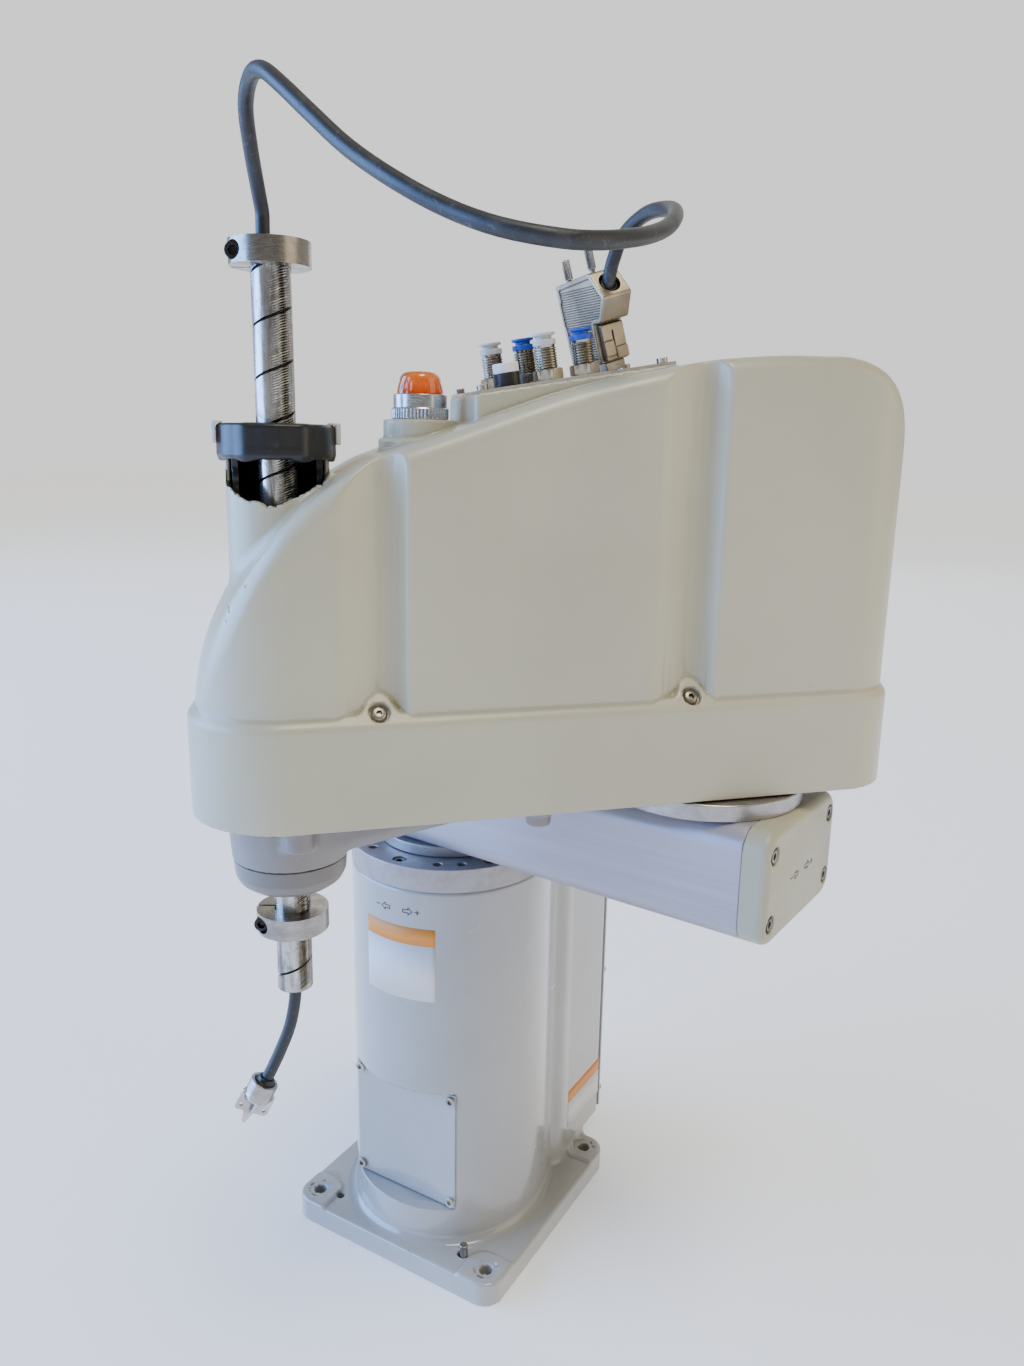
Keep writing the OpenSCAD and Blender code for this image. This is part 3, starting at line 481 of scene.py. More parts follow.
MATERIALS["beam_alloy"] = beam_material()
MATERIALS["shaft"] = shaft_material()
MATERIALS["lead_jacket"] = jacket_material()
MATERIALS["lens_orange"] = lens_material()
MATERIALS["ring_1"] = lathe_metal("ring_turned_base", (0, 0), rgb(164, 159, 160), rgb(146, 142, 142), 0.3,
                                  metallic=0.6)
MATERIALS["ring_2"] = lathe_metal("ring_turned_elbow", J2[:2] / 1000, rgb(170, 165, 166),
                                  rgb(150, 146, 146), 0.24)
MATERIALS["collar"] = lathe_metal("collar_turned", J3[:2] / 1000, rgb(168, 163, 158),
                                  rgb(130, 125, 120), 0.2, shade_and_grime=0.6)
MATERIALS["lamp"] = lathe_metal("lamp_turned", placed((LAMP_T, 0, 0), ARM2)[0],
                                rgb(190, 192, 196), rgb(182, 184, 188), 0.2, shade_and_grime=0.1, scuffs=0.0,
                                spread=0.03)
MATERIALS["cap_screw"] = metal("screw_dull_steel", rgb(134, 128, 118), rgb(92, 87, 80), 0.32, shade_and_grime=0.9,
                               grain_scale=900)
MATERIALS["fitting"] = metal("fitting_nickel", rgb(178, 172, 160), rgb(150, 142, 128), 0.2, spread=0.08,
                             shade_and_grime=0.3, grain_scale=500)
MATERIALS["mark"] = plastic("mark_print", rgb(40, 42, 52), 0.5, dust=0.1)
MATERIALS["label_white"] = plastic("label_white_vinyl", rgb(222, 222, 222), 0.42, dust=0.15)
MATERIALS["label_orange"] = plastic("label_orange_vinyl", rgb(228, 140, 52), 0.42, dust=0.15)

floor_mesh = bpy.data.meshes.new("floor")
FLOOR_HALF = 14
CORNERS = ((-1, -1), (1, -1), (1, 1), (-1, 1))
floor_mesh.from_pydata([(x * FLOOR_HALF, y * FLOOR_HALF, 0) for x, y in CORNERS], [], [(0, 1, 2, 3)])
floor = new_object("floor", floor_mesh)
floor_nodes = Nodes("floor_pale")
floor_mesh.materials.append(floor_nodes.finish(
    floor_nodes.mix(floor_nodes.noise(1.5, 2), (0.79, 0.83, 0.91, 1), (0.81, 0.85, 0.93, 1)), 0.7,
    floor_nodes.bump(floor_nodes.noise(300, 2), 0.0001), Emission_Color=(0.97, 0.98, 1.0, 1),
    Emission_Strength=0.38))


# ---- Making meshes ----

def make_object(name, points, faces, matrix, material, smooth=True):
    mesh = bpy.data.meshes.new(name)
    mesh.from_pydata(placed(points, matrix).tolist(), [], [list(map(int, f)) for f in faces])
    mesh.validate()
    mesh.materials.append(MATERIALS[material])
    if smooth:
        mesh.shade_smooth()
    return new_object(name, mesh)


def attach(made, body, slot, *nodes):
    """Puts a finished piece on its body and lets it stand for CAD nodes."""
    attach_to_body(made, body)
    if nodes:
        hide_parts(*nodes)
    return made


SHARP = math.radians(35)


def point_attribute(mesh, name, values):
    layer = mesh.attributes.new(name, "FLOAT", "POINT")
    layer.data.foreach_set("value", np.asarray(values, np.float32))


def vertex_rows(mesh, field):
    """A vector field of the mesh's vertices, one row each."""
    out = np.zeros(len(mesh.vertices) * 3)
    mesh.vertices.foreach_get(field, out)
    return out.reshape(-1, 3)


def mesh_edges(made):
    """Marks how convex a mesh is at each point, from its neighbours."""
    mesh = made.data
    at, normal = vertex_rows(mesh, "co"), vertex_rows(mesh, "normal")
    pair = np.zeros(len(mesh.edges) * 2, int)
    mesh.edges.foreach_get("vertices", pair)
    pair = pair.reshape(-1, 2)
    value, hits = np.zeros(len(at)), np.zeros(len(at))
    for a, b in (pair.T, pair[:, ::-1].T):
        away = at[a] - at[b]
        far = np.linalg.norm(away, axis=1) + 1e-9
        np.add.at(value, a, (normal[a] * away).sum(1) / far)
        np.add.at(hits, a, 1)
    point_attribute(mesh, "edge", value / np.maximum(hits, 1))


def apply_modifiers(made):
    """Replaces a piece's mesh by the one its modifiers give."""
    graph = bpy.context.evaluated_depsgraph_get()
    final = bpy.data.meshes.new_from_object(made.evaluated_get(graph))
    old = made.data
    made.modifiers.clear()
    made.data = final
    bpy.data.meshes.remove(old)


def bevelled(made, width):
    """Rounds a piece's sharp edges and keeps its flat faces flat."""
    bevel = made.modifiers.new("bevel", "BEVEL")
    bevel.width = width / 1000
    bevel.segments = 2
    bevel.limit_method = "ANGLE"
    bevel.angle_limit = SHARP
    bevel.use_clamp_overlap = True
    bevel.miter_outer = "MITER_ARC"
    weighted = made.modifiers.new("normals", "WEIGHTED_NORMAL")
    weighted.keep_sharp = True
    weighted.weight = 80
    apply_modifiers(made)
    mesh_edges(made)
    return made


def refine(node, name, width, material=None):
    """A bevelled copy of a CAD node, welded and freed of needless edges."""
    source = frame["nodes"][node]
    mesh = bpy.data.meshes.new(name)
    work = bmesh.new()
    work.from_mesh(source.data)
    bmesh.ops.remove_doubles(work, verts=work.verts, dist=2e-6)
    bmesh.ops.dissolve_limit(work, angle_limit=math.radians(0.6), verts=work.verts, edges=work.edges)
    bmesh.ops.recalc_face_normals(work, faces=work.faces)
    work.to_mesh(mesh)
    work.free()
    mesh.shade_smooth()
    mesh.set_sharp_from_angle(angle=SHARP)
    mesh.materials.clear()
    mesh.materials.append(MATERIALS[material or slot_of[node]])
    made = bevelled(new_object(name, mesh), width)
    return attach(made, source["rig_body"], slot_of[node], node)


def rounded_profile(profile):
    """Replaces the corners that have a third number, their rounding, by arcs."""
    steps = 4
    out = []
    for i, (*corner, ease) in enumerate((*point, 0)[:3] for point in profile):
        if ease == 0 or i in (0, len(profile) - 1):
            out.append(tuple(corner))
            continue
        here = np.array(corner)
        back = np.array(profile[i - 1][:2]) - here
        on = np.array(profile[i + 1][:2]) - here
        lb, lo = np.linalg.norm(back), np.linalg.norm(on)
        back, on = back / lb, on / lo
        cosine = np.clip(back @ on, -1, 1)
        half = math.acos(cosine) / 2
        reach = min(ease / math.tan(half), 0.49 * lb, 0.49 * lo)
        ease = reach * math.tan(half)
        centre = here + (back + on) / np.linalg.norm(back + on) * ease / math.sin(half)
        a, b = here + back * reach - centre, here + on * reach - centre
        sweep = math.acos(np.clip(a @ b / (np.linalg.norm(a) * np.linalg.norm(b)), -1, 1))
        for k in range(steps + 1):
            u = k / steps
            w = (math.sin((1 - u) * sweep) * a + math.sin(u * sweep) * b) / math.sin(sweep)
            out.append(tuple(centre + w))
    return out


def revolve(name, profile, matrix, material, body, *nodes, slot=None, sides=64, shape=None):
    """A turned piece about z. shape(angle, radius, height) may change each radius."""
    points = rounded_profile(profile)
    angles = 2 * math.pi * np.arange(sides) / sides
    verts, rows = [], []
    for r, z in points:
        if r < 1e-6:
            rows.append([len(verts)])
            verts.append((0, 0, z))
            continue
        radii = np.full(sides, r) if shape is None else shape(angles, r, z)
        rows.append(list(range(len(verts), len(verts) + sides)))
        verts += [(q * math.cos(a), q * math.sin(a), z) for q, a in zip(radii, angles)]
    faces = []
    closed = points[0][0] > 1e-6 and points[-1][0] > 1e-6
    for low, high in zip(rows, rows[1:] + rows[:1] if closed else rows[1:]):
        for k in range(sides):
            j = (k + 1) % sides
            if len(low) == 1:
                faces.append((low[0], high[j], high[k]))
            elif len(high) == 1:
                faces.append((low[k], low[j], high[0]))
            else:
                faces.append((low[k], low[j], high[j], high[k]))
    made = make_object(name, verts, faces, matrix, material)
    work = bmesh.new()
    work.from_mesh(made.data)
    bmesh.ops.recalc_face_normals(work, faces=work.faces)
    work.to_mesh(made.data)
    work.free()
    made.data.set_sharp_from_angle(angle=math.radians(38))
    weighted = made.modifiers.new("normals", "WEIGHTED_NORMAL")
    weighted.keep_sharp = True
    apply_modifiers(made)
    mesh_edges(made)
    return attach(made, body, slot or material, *nodes)


def joined(name, parts, body, slot, *nodes):
    """One piece out of several made ones."""
    bpy.context.view_layer.update()
    mesh = bpy.data.meshes.new(name)
    work = bmesh.new()
    for part in parts:
        work.from_mesh(part.data)
        old = part.data
        bpy.data.objects.remove(part)
    work.to_mesh(mesh)
    work.free()
    mesh.materials.append(old.materials[0])
    return attach(new_object(name, mesh), body, slot, *nodes)


# ---- Signed distances, in millimetres ----

def both(a, b, r):
    """Inside a and b, with a rounded edge."""
    return np.minimum(-r, np.maximum(a, b)) + np.hypot(np.maximum(a + r, 0), np.maximum(b + r, 0))


def either(a, b, r):
    """Inside a or b, with a fillet between them."""
    return np.maximum(r, np.minimum(a, b)) - np.hypot(np.maximum(r - a, 0), np.maximum(r - b, 0))


def without(a, b, r):
    return both(a, -b, r)


def within(*parts):
    """Inside every part, with sharp edges."""
    return reduce(np.maximum, parts)


def between(v, low, high):
    return np.maximum(low - v, v - high)


def box2(x, y, half_x, half_y, r):
    """Distance to a rectangle with rounded corners."""
    qx, qy = np.abs(x) - half_x + r, np.abs(y) - half_y + r
    return np.hypot(np.maximum(qx, 0), np.maximum(qy, 0)) + np.minimum(np.maximum(qx, qy), 0) - r


def disc(x, y, r):
    return np.hypot(x, y) - r


def gradient(f, p, eps):
    out = np.empty_like(p)
    for axis in range(3):
        shift = np.zeros(3)
        shift[axis] = eps
        out[:, axis] = (f(p + shift) - f(p - shift)) / (2 * eps)
    return out


def settle(f, p, steps, limit):
    """Moves points onto the surface."""
    for _ in range(steps):
        g = gradient(f, p, 0.05)
        far = f(p) / ((g * g).sum(1) + 1e-9)
        p = p - np.clip(far, -limit, limit)[:, None] * g
    return p


# Half a block's diagonal over its side, and the steepest slope that f may have
HALF_DIAGONAL, STEEPEST = 0.87, 1.35


def sampled(f, low, step, cells, block=8):
    """f on a grid, worked out in full only in the blocks near the surface."""
    blocks = [-(-c // block) for c in cells]
    size = [b * block + 1 for b in blocks]
    corners = np.array(list(product(*(range(b) for b in blocks)))) * block
    middle = f(low + (corners + block / 2) * step)
    reach = block * step * HALF_DIAGONAL * STEEPEST
    far = np.abs(middle) >= reach
    grid = np.empty(size)
    offset = np.array(list(product(range(block + 1), repeat=3)))
    for (i, j, k), value in zip(corners[far], middle[far]):
        grid[i:i + block + 1, j:j + block + 1, k:k + block + 1] = math.copysign(reach, value)
    near = corners[~far]
    for start in range(0, len(near), 400):
        part = near[start:start + 400]
        at = low + (part[:, None, :] + offset[None]) * step
        values = f(at.reshape(-1, 3)).reshape(len(part), block + 1, block + 1, block + 1)
        for (i, j, k), v in zip(part, values):
            grid[i:i + block + 1, j:j + block + 1, k:k + block + 1] = v
    return grid


def surface_net(grid):
    """Points, in cells, and quads of the surface where the grid changes sign."""
    inside = grid < 0
    cut = (slice(None, -1), slice(1, None))
    count = sum(inside[cut[i], cut[j], cut[k]].astype(np.int8) for i, j, k in product((0, 1), repeat=3))
    active = (count > 0) & (count < 8)
    index = np.full(active.shape, -1)
    index[active] = np.arange(active.sum())
    cell = np.argwhere(active)
    total, hits = np.zeros(cell.shape), np.zeros(len(cell))
    for axis in range(3):
        unit = np.eye(3, dtype=int)[axis]
        others = [a for a in range(3) if a != axis]
        for u, v in product((0, 1), repeat=2):
            start = np.zeros(3, int)
            start[others] = u, v
            ga = grid[tuple((cell + start).T)]
            gb = grid[tuple((cell + start + unit).T)]
            crosses = (ga < 0) != (gb < 0)
            share = np.where(crosses, ga / np.where(crosses, ga - gb, 1), 0)
            total += crosses[:, None] * start + share[:, None] * unit
            hits += crosses
    points = cell + total / hits[:, None]
    quads = []
    for axis in range(3):
        others = [a for a in range(3) if a != axis]
        first = [slice(1, -1)] * 3
        first[axis] = slice(None, -1)
        second = list(first)
        second[axis] = slice(1, None)
        a, b = inside[tuple(first)], inside[tuple(second)]
        at = np.argwhere(a != b)
        rising = a[tuple(at.T)]
        at[:, others] += 1
        around = []
        for u, v in ((-1, -1), (0, -1), (0, 0), (-1, 0)):
            shifted = at.copy()
            shifted[:, others[0]] += u
            shifted[:, others[1]] += v
            around.append(index[tuple(shifted.T)])
        quad = np.stack(around, 1)
        flip = rising if axis != 1 else ~rising
        quad[~flip] = quad[~flip][:, ::-1]
        quads.append(quad)
    return points, np.concatenate(quads)


def solid(name, f, low, high, step, matrix, material, faces, body, *nodes, edge_reach=2.0):
    """A piece with the surface f = 0, thinned to about this many triangles."""
    low, high = np.array(low, float), np.array(high, float)
    cells = np.ceil((high - low) / step).astype(int)
    points, quads = surface_net(sampled(f, low, step, cells))
    points = settle(f, low + points * step, 2, step)
    made = make_object(name, points, quads, np.diag([1000, 1000, 1000, 1.0]), material)
    if len(quads) * 2 > faces:
        thin = made.modifiers.new("thin", "DECIMATE")
        thin.ratio = faces / (len(quads) * 2)
        apply_modifiers(made)
    mesh = made.data
    at = settle(f, vertex_rows(mesh, "co"), 2, step * 0.7)
    normal = gradient(f, at, 0.12)
    normal /= np.linalg.norm(normal, axis=1)[:, None] + 1e-9
    helper = np.where(np.abs(normal[:, 2:]) < 0.9, [[0, 0, 1.0]], [[1.0, 0, 0]])
    across = np.cross(normal, helper)
    across /= np.linalg.norm(across, axis=1)[:, None] + 1e-9
    along = np.cross(normal, across)
    bend = sum(f(at + edge_reach * d) for d in (across, -across, along, -along)) / (4 * edge_reach)
    mesh.vertices.foreach_set("co", placed(at, matrix).astype(np.float32).ravel())
    point_attribute(mesh, "edge", bend * 4)
    mesh.shade_smooth()
    mesh.normals_split_custom_set_from_vertices((normal @ matrix[:3, :3].T).tolist())
    mesh.update()
    return attach(made, body, material, *nodes)


# ---- Tool lead ----

UPPER_ROUTE = [
    (82, 19, 672), (82, 24, 684), (82, 29, 690), (82, 36, 696), (81, 48, 701), (79, 64, 704),
    (78, 83, 702), (82, 101, 697), (90, 118, 690), (101, 134, 683), (115, 150, 677), (128, 162, 673),
    (142, 171, 670), (158, 175, 669), (178, 166, 673), (194, 151, 681), (210, 136, 692), (225, 115, 707),
    (238, 98, 723), (247, 82, 736), (254, 66, 746), (258, 49, 748), (260, 33, 741), (258, 18, 728),
    (255, 6, 714), (253, 0, 704), (253, 0, 697), (253, 0, 690)]
LOWER_ROUTE = [
    (253, 0, 689.9), (253, 0, 670), (252, 0, 640), (250, 0, 590), (250, 0, 540), (250, 0, 490),
    (250, 0, 440), (250, 0, 390), (250, 0, 340), (250, 0, 310), (250, 0, 292), (251, 0, 280),
    (254, 0, 266), (259, 0, 253), (265, 0, 240), (270, 0, 231)]
PLUG_DIR = np.array((0.47, 0, -0.88))
LEAD_D = 7


def smooth_path(route, steps):
    """A Catmull-Rom path through the route's points."""
    p = np.array([route[0], *route, route[-1]], float)
    out = []
    for i in range(len(route) - 1):
        a, b, c, d = p[i:i + 4]
        for k in range(steps):
            u = k / steps
            out.append(0.5 * (2 * b + (c - a) * u + (2 * a - 5 * b + 4 * c - d) * u * u
                              + (3 * b - a - 3 * c + d) * u ** 3))
    return np.array(out + [p[-1]])


def tube_mesh(path, radius, sides):
    """Points and faces of a closed tube that doesn't twist."""
    tangent = np.gradient(path, axis=0)
    tangent /= np.linalg.norm(tangent, axis=1)[:, None]
    carried = np.cross(tangent[0], (1, 0.3, 0.2))
    verts = []
    for centre, t in zip(path, tangent):
        carried = carried - (carried @ t) * t
        carried /= np.linalg.norm(carried)
        other = np.cross(t, carried)
        for k in range(sides):
            a = 2 * math.pi * k / sides
            verts.append(centre + radius * (math.cos(a) * carried + math.sin(a) * other))
    faces = []
    for i in range(len(path) - 1):
        for k in range(sides):
            j = (k + 1) % sides
            faces.append((i * sides + k, i * sides + j, (i + 1) * sides + j, (i + 1) * sides + k))
    faces.append(tuple(range(sides))[::-1])
    faces.append(tuple((len(path) - 1) * sides + k for k in range(sides)))
    return verts, faces


upper_path = smooth_path(UPPER_ROUTE, 4)
lower_path = smooth_path(LOWER_ROUTE, 4)
lead_path = np.concatenate([upper_path, lower_path[1:]])
lead = make_object("lead_jacket", *tube_mesh(lead_path, LEAD_D / 2, 20), ARM2, "lead_jacket")
mesh_edges(lead)
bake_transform(lead)
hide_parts("lead_upper", "lead_lower")


# ---- Lead plug: split shell with a grommet, wings and a blade ----

PLUG_LEAN = math.degrees(math.atan(PLUG_DIR[0] / -PLUG_DIR[2]))
PLUG = ARM2 @ move(*LOWER_ROUTE[-1]) @ turn("y", 180 - PLUG_LEAN)


def plug_shell(p):
    x, y, z = p.T
    ring = both(np.abs(disc(x, y, 7.3)) - 1.0, between(z, -1.5, 8.5), 0.4)
    ring = without(ring, np.maximum(np.abs(y) - 0.5, -x), 0.2)
    cup = both(disc(x, y, 6.9), between(z, 4, 11), 1.0)
    wing = both(box2(x - 1.5 * np.sign(x), z - 12, 8.6, 7.0, 2.5), np.abs(y - 1.2) - 0.9, 0.5)
    wing = without(wing, disc(np.abs(x) - 7.0, z - 15.5, 1.0), 0.2)
    taper = np.abs(x) - (5.6 - np.maximum(z - 12, 0) * 0.3)
    blade = both(both(np.abs(y + 1.0) - 0.8, taper, 0.5), between(z, 8, 27.5), 0.5)
    back = both(box2(y, z - 9, 7.4, 8, 2.0), np.abs(x) - 0.9, 0.4)
    body = either(either(ring, cup, 0.6), either(wing, blade, 0.6), 0.6)
    return either(body, back, 0.5)


plug = solid("plug_split_shell", plug_shell, (-12, -10, -4), (12, 10, 30), 0.5, PLUG, "plug_shell", 26000,
             "tool_lead", "lead_plug", edge_reach=0.8)
grommet = revolve("plug_grommet", [(3.4, -4.2), (4.6, -4.4, 0.5), (5.2, -1.8, 0.8), (6.2, -1.4, 0.5),
                                   (6.2, 4.2), (3.4, 4.2)], PLUG, "black_plastic", "tool_lead",
                  sides=40)
OUTLET, OUTLET_TILT = (0, 25.3, 44.5), 51
revolve("hood_grommet", [(3.4, -5.6), (5.4, -5.6), (5.4, -2.4, 0.4), (4.2, -1.4, 0.6), (3.5, -1.2, 0.3)],
        HOOD @ move(*OUTLET) @ turn("x", -OUTLET_TILT), "black_plastic", "arm2", sides=40)


# ---- Outer link's cover ----

def outline_points():
    """Side outline of the cover above its ledge, as (t, z)."""
    def arc(centre, r, a, b, count):
        turns = np.radians(np.linspace(a, b, count))
        return np.array(centre) + r * np.stack([np.cos(turns), np.sin(turns)], 1)
    back = arc((-46, 587), 59, 180, 84, 30)
    front = arc((80, 400), 231, 46, 12, 30)
    crown = np.array([back[-2], back[-1], (-9, 645), (30, 641), (75, 631.8), (108, 623.2), (136, 613.8),
                      (152, 608.1), (168, 602.4), (184, 597), (198, 592), (208, 588), (224, 578.3),
                      front[0], front[1]])
    middle = smooth_path([(*q, 0) for q in crown], 10)[10:-10, :2]
    return np.concatenate([[(-105, 380)], back[:-1], middle, front[1:], [(311, 380)]])


OUTLINE_LOW = np.array((-140.0, 420.0))
OUTLINE_SIZE = (500, 270)


def outline_table():
    """Signed distances to the side outline on a 1 mm grid."""
    ring = outline_points()
    spans = (low + np.arange(size) for low, size in zip(OUTLINE_LOW, OUTLINE_SIZE))
    t, z = np.meshgrid(*spans, indexing="ij")
    nearest = np.full(t.shape, 1e9)
    odd = np.zeros(t.shape, bool)
    for a, b in zip(ring, np.roll(ring, -1, 0)):
        d = b - a
        u = np.clip(((t - a[0]) * d[0] + (z - a[1]) * d[1]) / (d @ d + 1e-12), 0, 1)
        nearest = np.minimum(nearest, np.hypot(t - a[0] - u * d[0], z - a[1] - u * d[1]))
        if a[1] != b[1]:
            odd ^= ((a[1] > z) != (b[1] > z)) & (t < (z - a[1]) / (b[1] - a[1]) * d[0] + a[0])
    value = np.where(odd, -nearest, nearest)
    for axis in (0, 1):
        softened = (np.roll(value, 1, axis) + 2 * value + np.roll(value, -1, axis)) / 4
        value[1:-1, 1:-1] = softened[1:-1, 1:-1]
    return value


OUTLINE = outline_table()


def outline(t, z):
    """Distance to the side outline, read off the table."""
    x = np.clip(t - OUTLINE_LOW[0], 0, OUTLINE_SIZE[0] - 1.001)
    y = np.clip(z - OUTLINE_LOW[1], 0, OUTLINE_SIZE[1] - 1.001)
    i, j = x.astype(int), y.astype(int)
    u, v = x - i, y - j
    return ((1 - u) * ((1 - v) * OUTLINE[i, j] + v * OUTLINE[i, j + 1])
            + u * ((1 - v) * OUTLINE[i + 1, j] + v * OUTLINE[i + 1, j + 1]))


def link_plan(t, s, half, back, corner):
    """Plan of the outer link: straight, with a rounded back and a round nose."""
    a = np.abs(s)
    nose = np.hypot(np.maximum(t - ARM2_LEN, 0), a) - half
    qx, qy = corner - back - t, a - (half - corner)
    rear = np.hypot(np.maximum(qx, 0), np.maximum(qy, 0)) + np.minimum(np.maximum(qx, qy), 0) - corner
    return np.where(t > 60, nose, rear)


BAND_HALF, COVER_BACK, BAND_LOW, LEDGE = 51, 106, 402.5, 462.5
FLUTES = (38, 208)
BOSSES = (33, 206)
LEDGE_OUT = 4.5
LEDGE_TILT = 50
LEDGE_SIN, LEDGE_COS = math.sin(math.radians(LEDGE_TILT)), math.cos(math.radians(LEDGE_TILT))
SCREW_UP, SEAT_DEEP = 1.6, 3.8
TOWER_TOP = 588
TORN_T = (200, 222, 225, 229, 231, 238, 246, 252.5, 257, 260, 266.5, 271, 274, 276, 300)
TORN_Z = (600, 588, 580.5, 575, 576, 571.5, 568.5, 565.6, 565.4, 567.7, 568, 571, 574, 584, 600)


def upper_body(t, s, z, inset):
    plan = link_plan(t, s, 47.5 - inset, 102.5 - inset, 36 - inset)
    return both(plan, outline(t, z) + inset, 10 - inset)


def flute(t, a, middle):
    """A channel in the side wall, steep at its back edge and shallow towards the front."""
    steep = ((t - middle + 9) * -9 + (a - 35.5) * -6) / 10.82
    slope = ((t - middle + 7) * 11 + (a - 35.5) * -23) / 25.5
    return both(steep, slope, 8)


def screw_axes(a, z):
    """Height above the seat's face, and the distance up it from the screw's centre."""
    x, y = a - BAND_HALF + LEDGE_OUT, z - LEDGE
    return x * LEDGE_SIN + y * LEDGE_COS, y * LEDGE_SIN - x * LEDGE_COS - SCREW_UP


def cover(p):
    t, s, z = p.T
    a = np.abs(s)
    plan = link_plan(t, s, BAND_HALF, COVER_BACK, 39)
    ledge = (plan + LEDGE_OUT) * LEDGE_SIN + (z - LEDGE) * LEDGE_COS
    crest = z - LEDGE
    for middle in BOSSES:
        crest = either(crest, disc(t - middle, z - LEDGE - 2.4, 7), 6)
    band = both(both(both(plan, ledge, 1.2), crest, 0.8), BAND_LOW - z, 0.8)
    upper = upper_body(t, s, z, 0)
    for middle in FLUTES:
        upper = without(upper, flute(t, a, middle), 1.6)
    hollow = upper + 3
    upper = np.maximum(upper, BAND_LOW + 30 - z)
    body = either(band, upper, 0.8)
    slope = math.radians(PLATE_TILT)
    seat_top = (z - PLATE_TOP + 1.5) * math.cos(slope) + (t - PLATE_START) * math.sin(slope)
    seat = both(both(a - 31, between(t, PLATE_START, PLATE_END), 3), seat_top, 0.8)
    seat = np.maximum(seat, 600 - z)
    body = either(body, seat, 1.6)
    lamp = disc(t - LAMP_T, s, 0)
    turret = either(both(lamp - 22, z - 599, 1.6), both(lamp - 19.3, z - TURRET_TOP, 1.0), 1.2)
    body = either(body, np.maximum(turret, 580 - z), 1.8)
    axis = np.hypot(t - ARM2_LEN, s)
    tower = np.maximum(both(axis - 26, z - TOWER_TOP, 0.6), LEDGE - z)
    body = either(body, tower, 5)
    bore = np.maximum(axis - 23.5, 448 - z)
    inner_band = both(both(plan + 3, ledge + 3, 1), z - LEDGE + 3, 1)
    inside = either(inner_band, np.maximum(hollow, 430 - z), 2)
    inside = np.where(z < 440, np.minimum(inside, plan + 3), inside)
    for middle in BOSSES:
        block = within(np.abs(t - middle) - 10, 33 - a, between(z, LEDGE - 10, LEDGE + 13))
        inside = without(inside, block, 1.5)
    inside = np.minimum(inside, within(a - 26, between(t, 50, 149), 590 - z))
    body = without(body, np.minimum(inside, bore), 0.8)
    body = np.maximum(body, 9 - lamp - np.where(z < 560, 99, 0))
    body = without(body, np.maximum(lamp - 15.4, TURRET_TOP - z), 0.4)
    torn = np.interp(t, TORN_T, TORN_Z) + 0.3 * np.sin(2.1 * t) + 0.2 * np.sin(5.3 * t + 1)
    bowl = np.maximum((torn - z) * 0.8, 2 - s)
    body = without(body, np.maximum(bowl, axis - 34), 0.4)
    deep, along = screw_axes(a, z)
    for middle in BOSSES:
        hole = np.hypot(t - middle, along)
        body = without(body, np.maximum(hole - 5.6, -SEAT_DEEP - deep), 0.5)
    return body


def turned_to(t, a, z, side_sign, tilt):
    """Frame on a flank of the outer link, its z axis tilted outward from upright."""
    return ARM2 @ move(t, side_sign * a, z) @ turn("x", -side_sign * tilt)


def screw_socket(angles, r, z):
    """Radius change that makes a hexagonal socket in a screw's head."""
    hexagonal = r * 0.93 / np.cos((angles % (math.pi / 3)) - math.pi / 6)
    return np.where((r < 2.05) & (z > 0.5), hexagonal, r)


screws = []
for number, (middle, sign) in enumerate(product(BOSSES, (-1, 1))):
    out, up = BAND_HALF - LEDGE_OUT - SCREW_UP * LEDGE_COS, LEDGE + SCREW_UP * LEDGE_SIN
    screws.append(revolve(
        f"cover_screw_{number}",
        [(0, 0), (4.4, 0), (4.4, 0.7, 0.3), (3.5, 2.1, 1.2), (2.0, 2.6), (1.75, 2.6), (1.6, 0.9),
         (0, 0.7)],
        turned_to(middle, out, up, sign, LEDGE_TILT) @ move(0, 0, -SEAT_DEEP), "screw_steel", "arm2",
        sides=48, shape=screw_socket))
joined("cover_screw_heads", screws, "arm2", "screw_steel", "arm2_cover_screws")
solid("cover_moulding", cover, (-110, -55, 399), (305, 55, 650), 1.6, ARM2, "cover_shell", 150000, "arm2",
      "arm2_cover")


# ---- Outer link's casting and nose ----

def web_low(t):
    return np.interp(t, (60, 95, 150, 225, 250, 300), (402.5, 399, 393, 379, 376, 376))


def casting(p):
    t, s, z = p.T
    a = np.abs(s)
    floor = both(link_plan(t, s, 46.5, 101.5, 34.5), between(z, 402.5, 412), 1.2)
    web = both(both(a - 27, (web_low(t) - z) * 0.98, 9), between(t, 70, 262), 6)
    web = np.maximum(web, z - 411)
    body = either(floor, web, 5)
    axis = np.hypot(t - ARM2_LEN, s)
    nose = both(axis - 31.5 - (z - 374) / 14, between(z, 374, 411.5), 1.2)
    body = either(body, nose, 7)
    for middle, apart, r, low in ((248, 34, 8, 388), (118, 38, 7, 393)):
        lug = both(disc(t - middle, a - apart, r), between(z, low, 411), 1.8)
        body = either(body, lug, 5)
    neck = np.maximum(disc(t, s, 39.9), between(z, 393, 408))
    body = np.minimum(body, neck)
    for middle in (50, 112, 186, 250):
        post = both(disc(t - middle, a - (36 if middle == 250 else 31), 5), between(z, 410, 448), 0.8)
        body = either(body, post, 3)
    for middle in BOSSES:
        body = either(body, both(disc(t - middle, a - 40, 4.5), between(z, 410, LEDGE - 3.2), 0.8), 3)
    body = without(body, np.maximum(disc(t, s, 8), -z), 0.8)
    return without(body, axis - 24, 0.8)


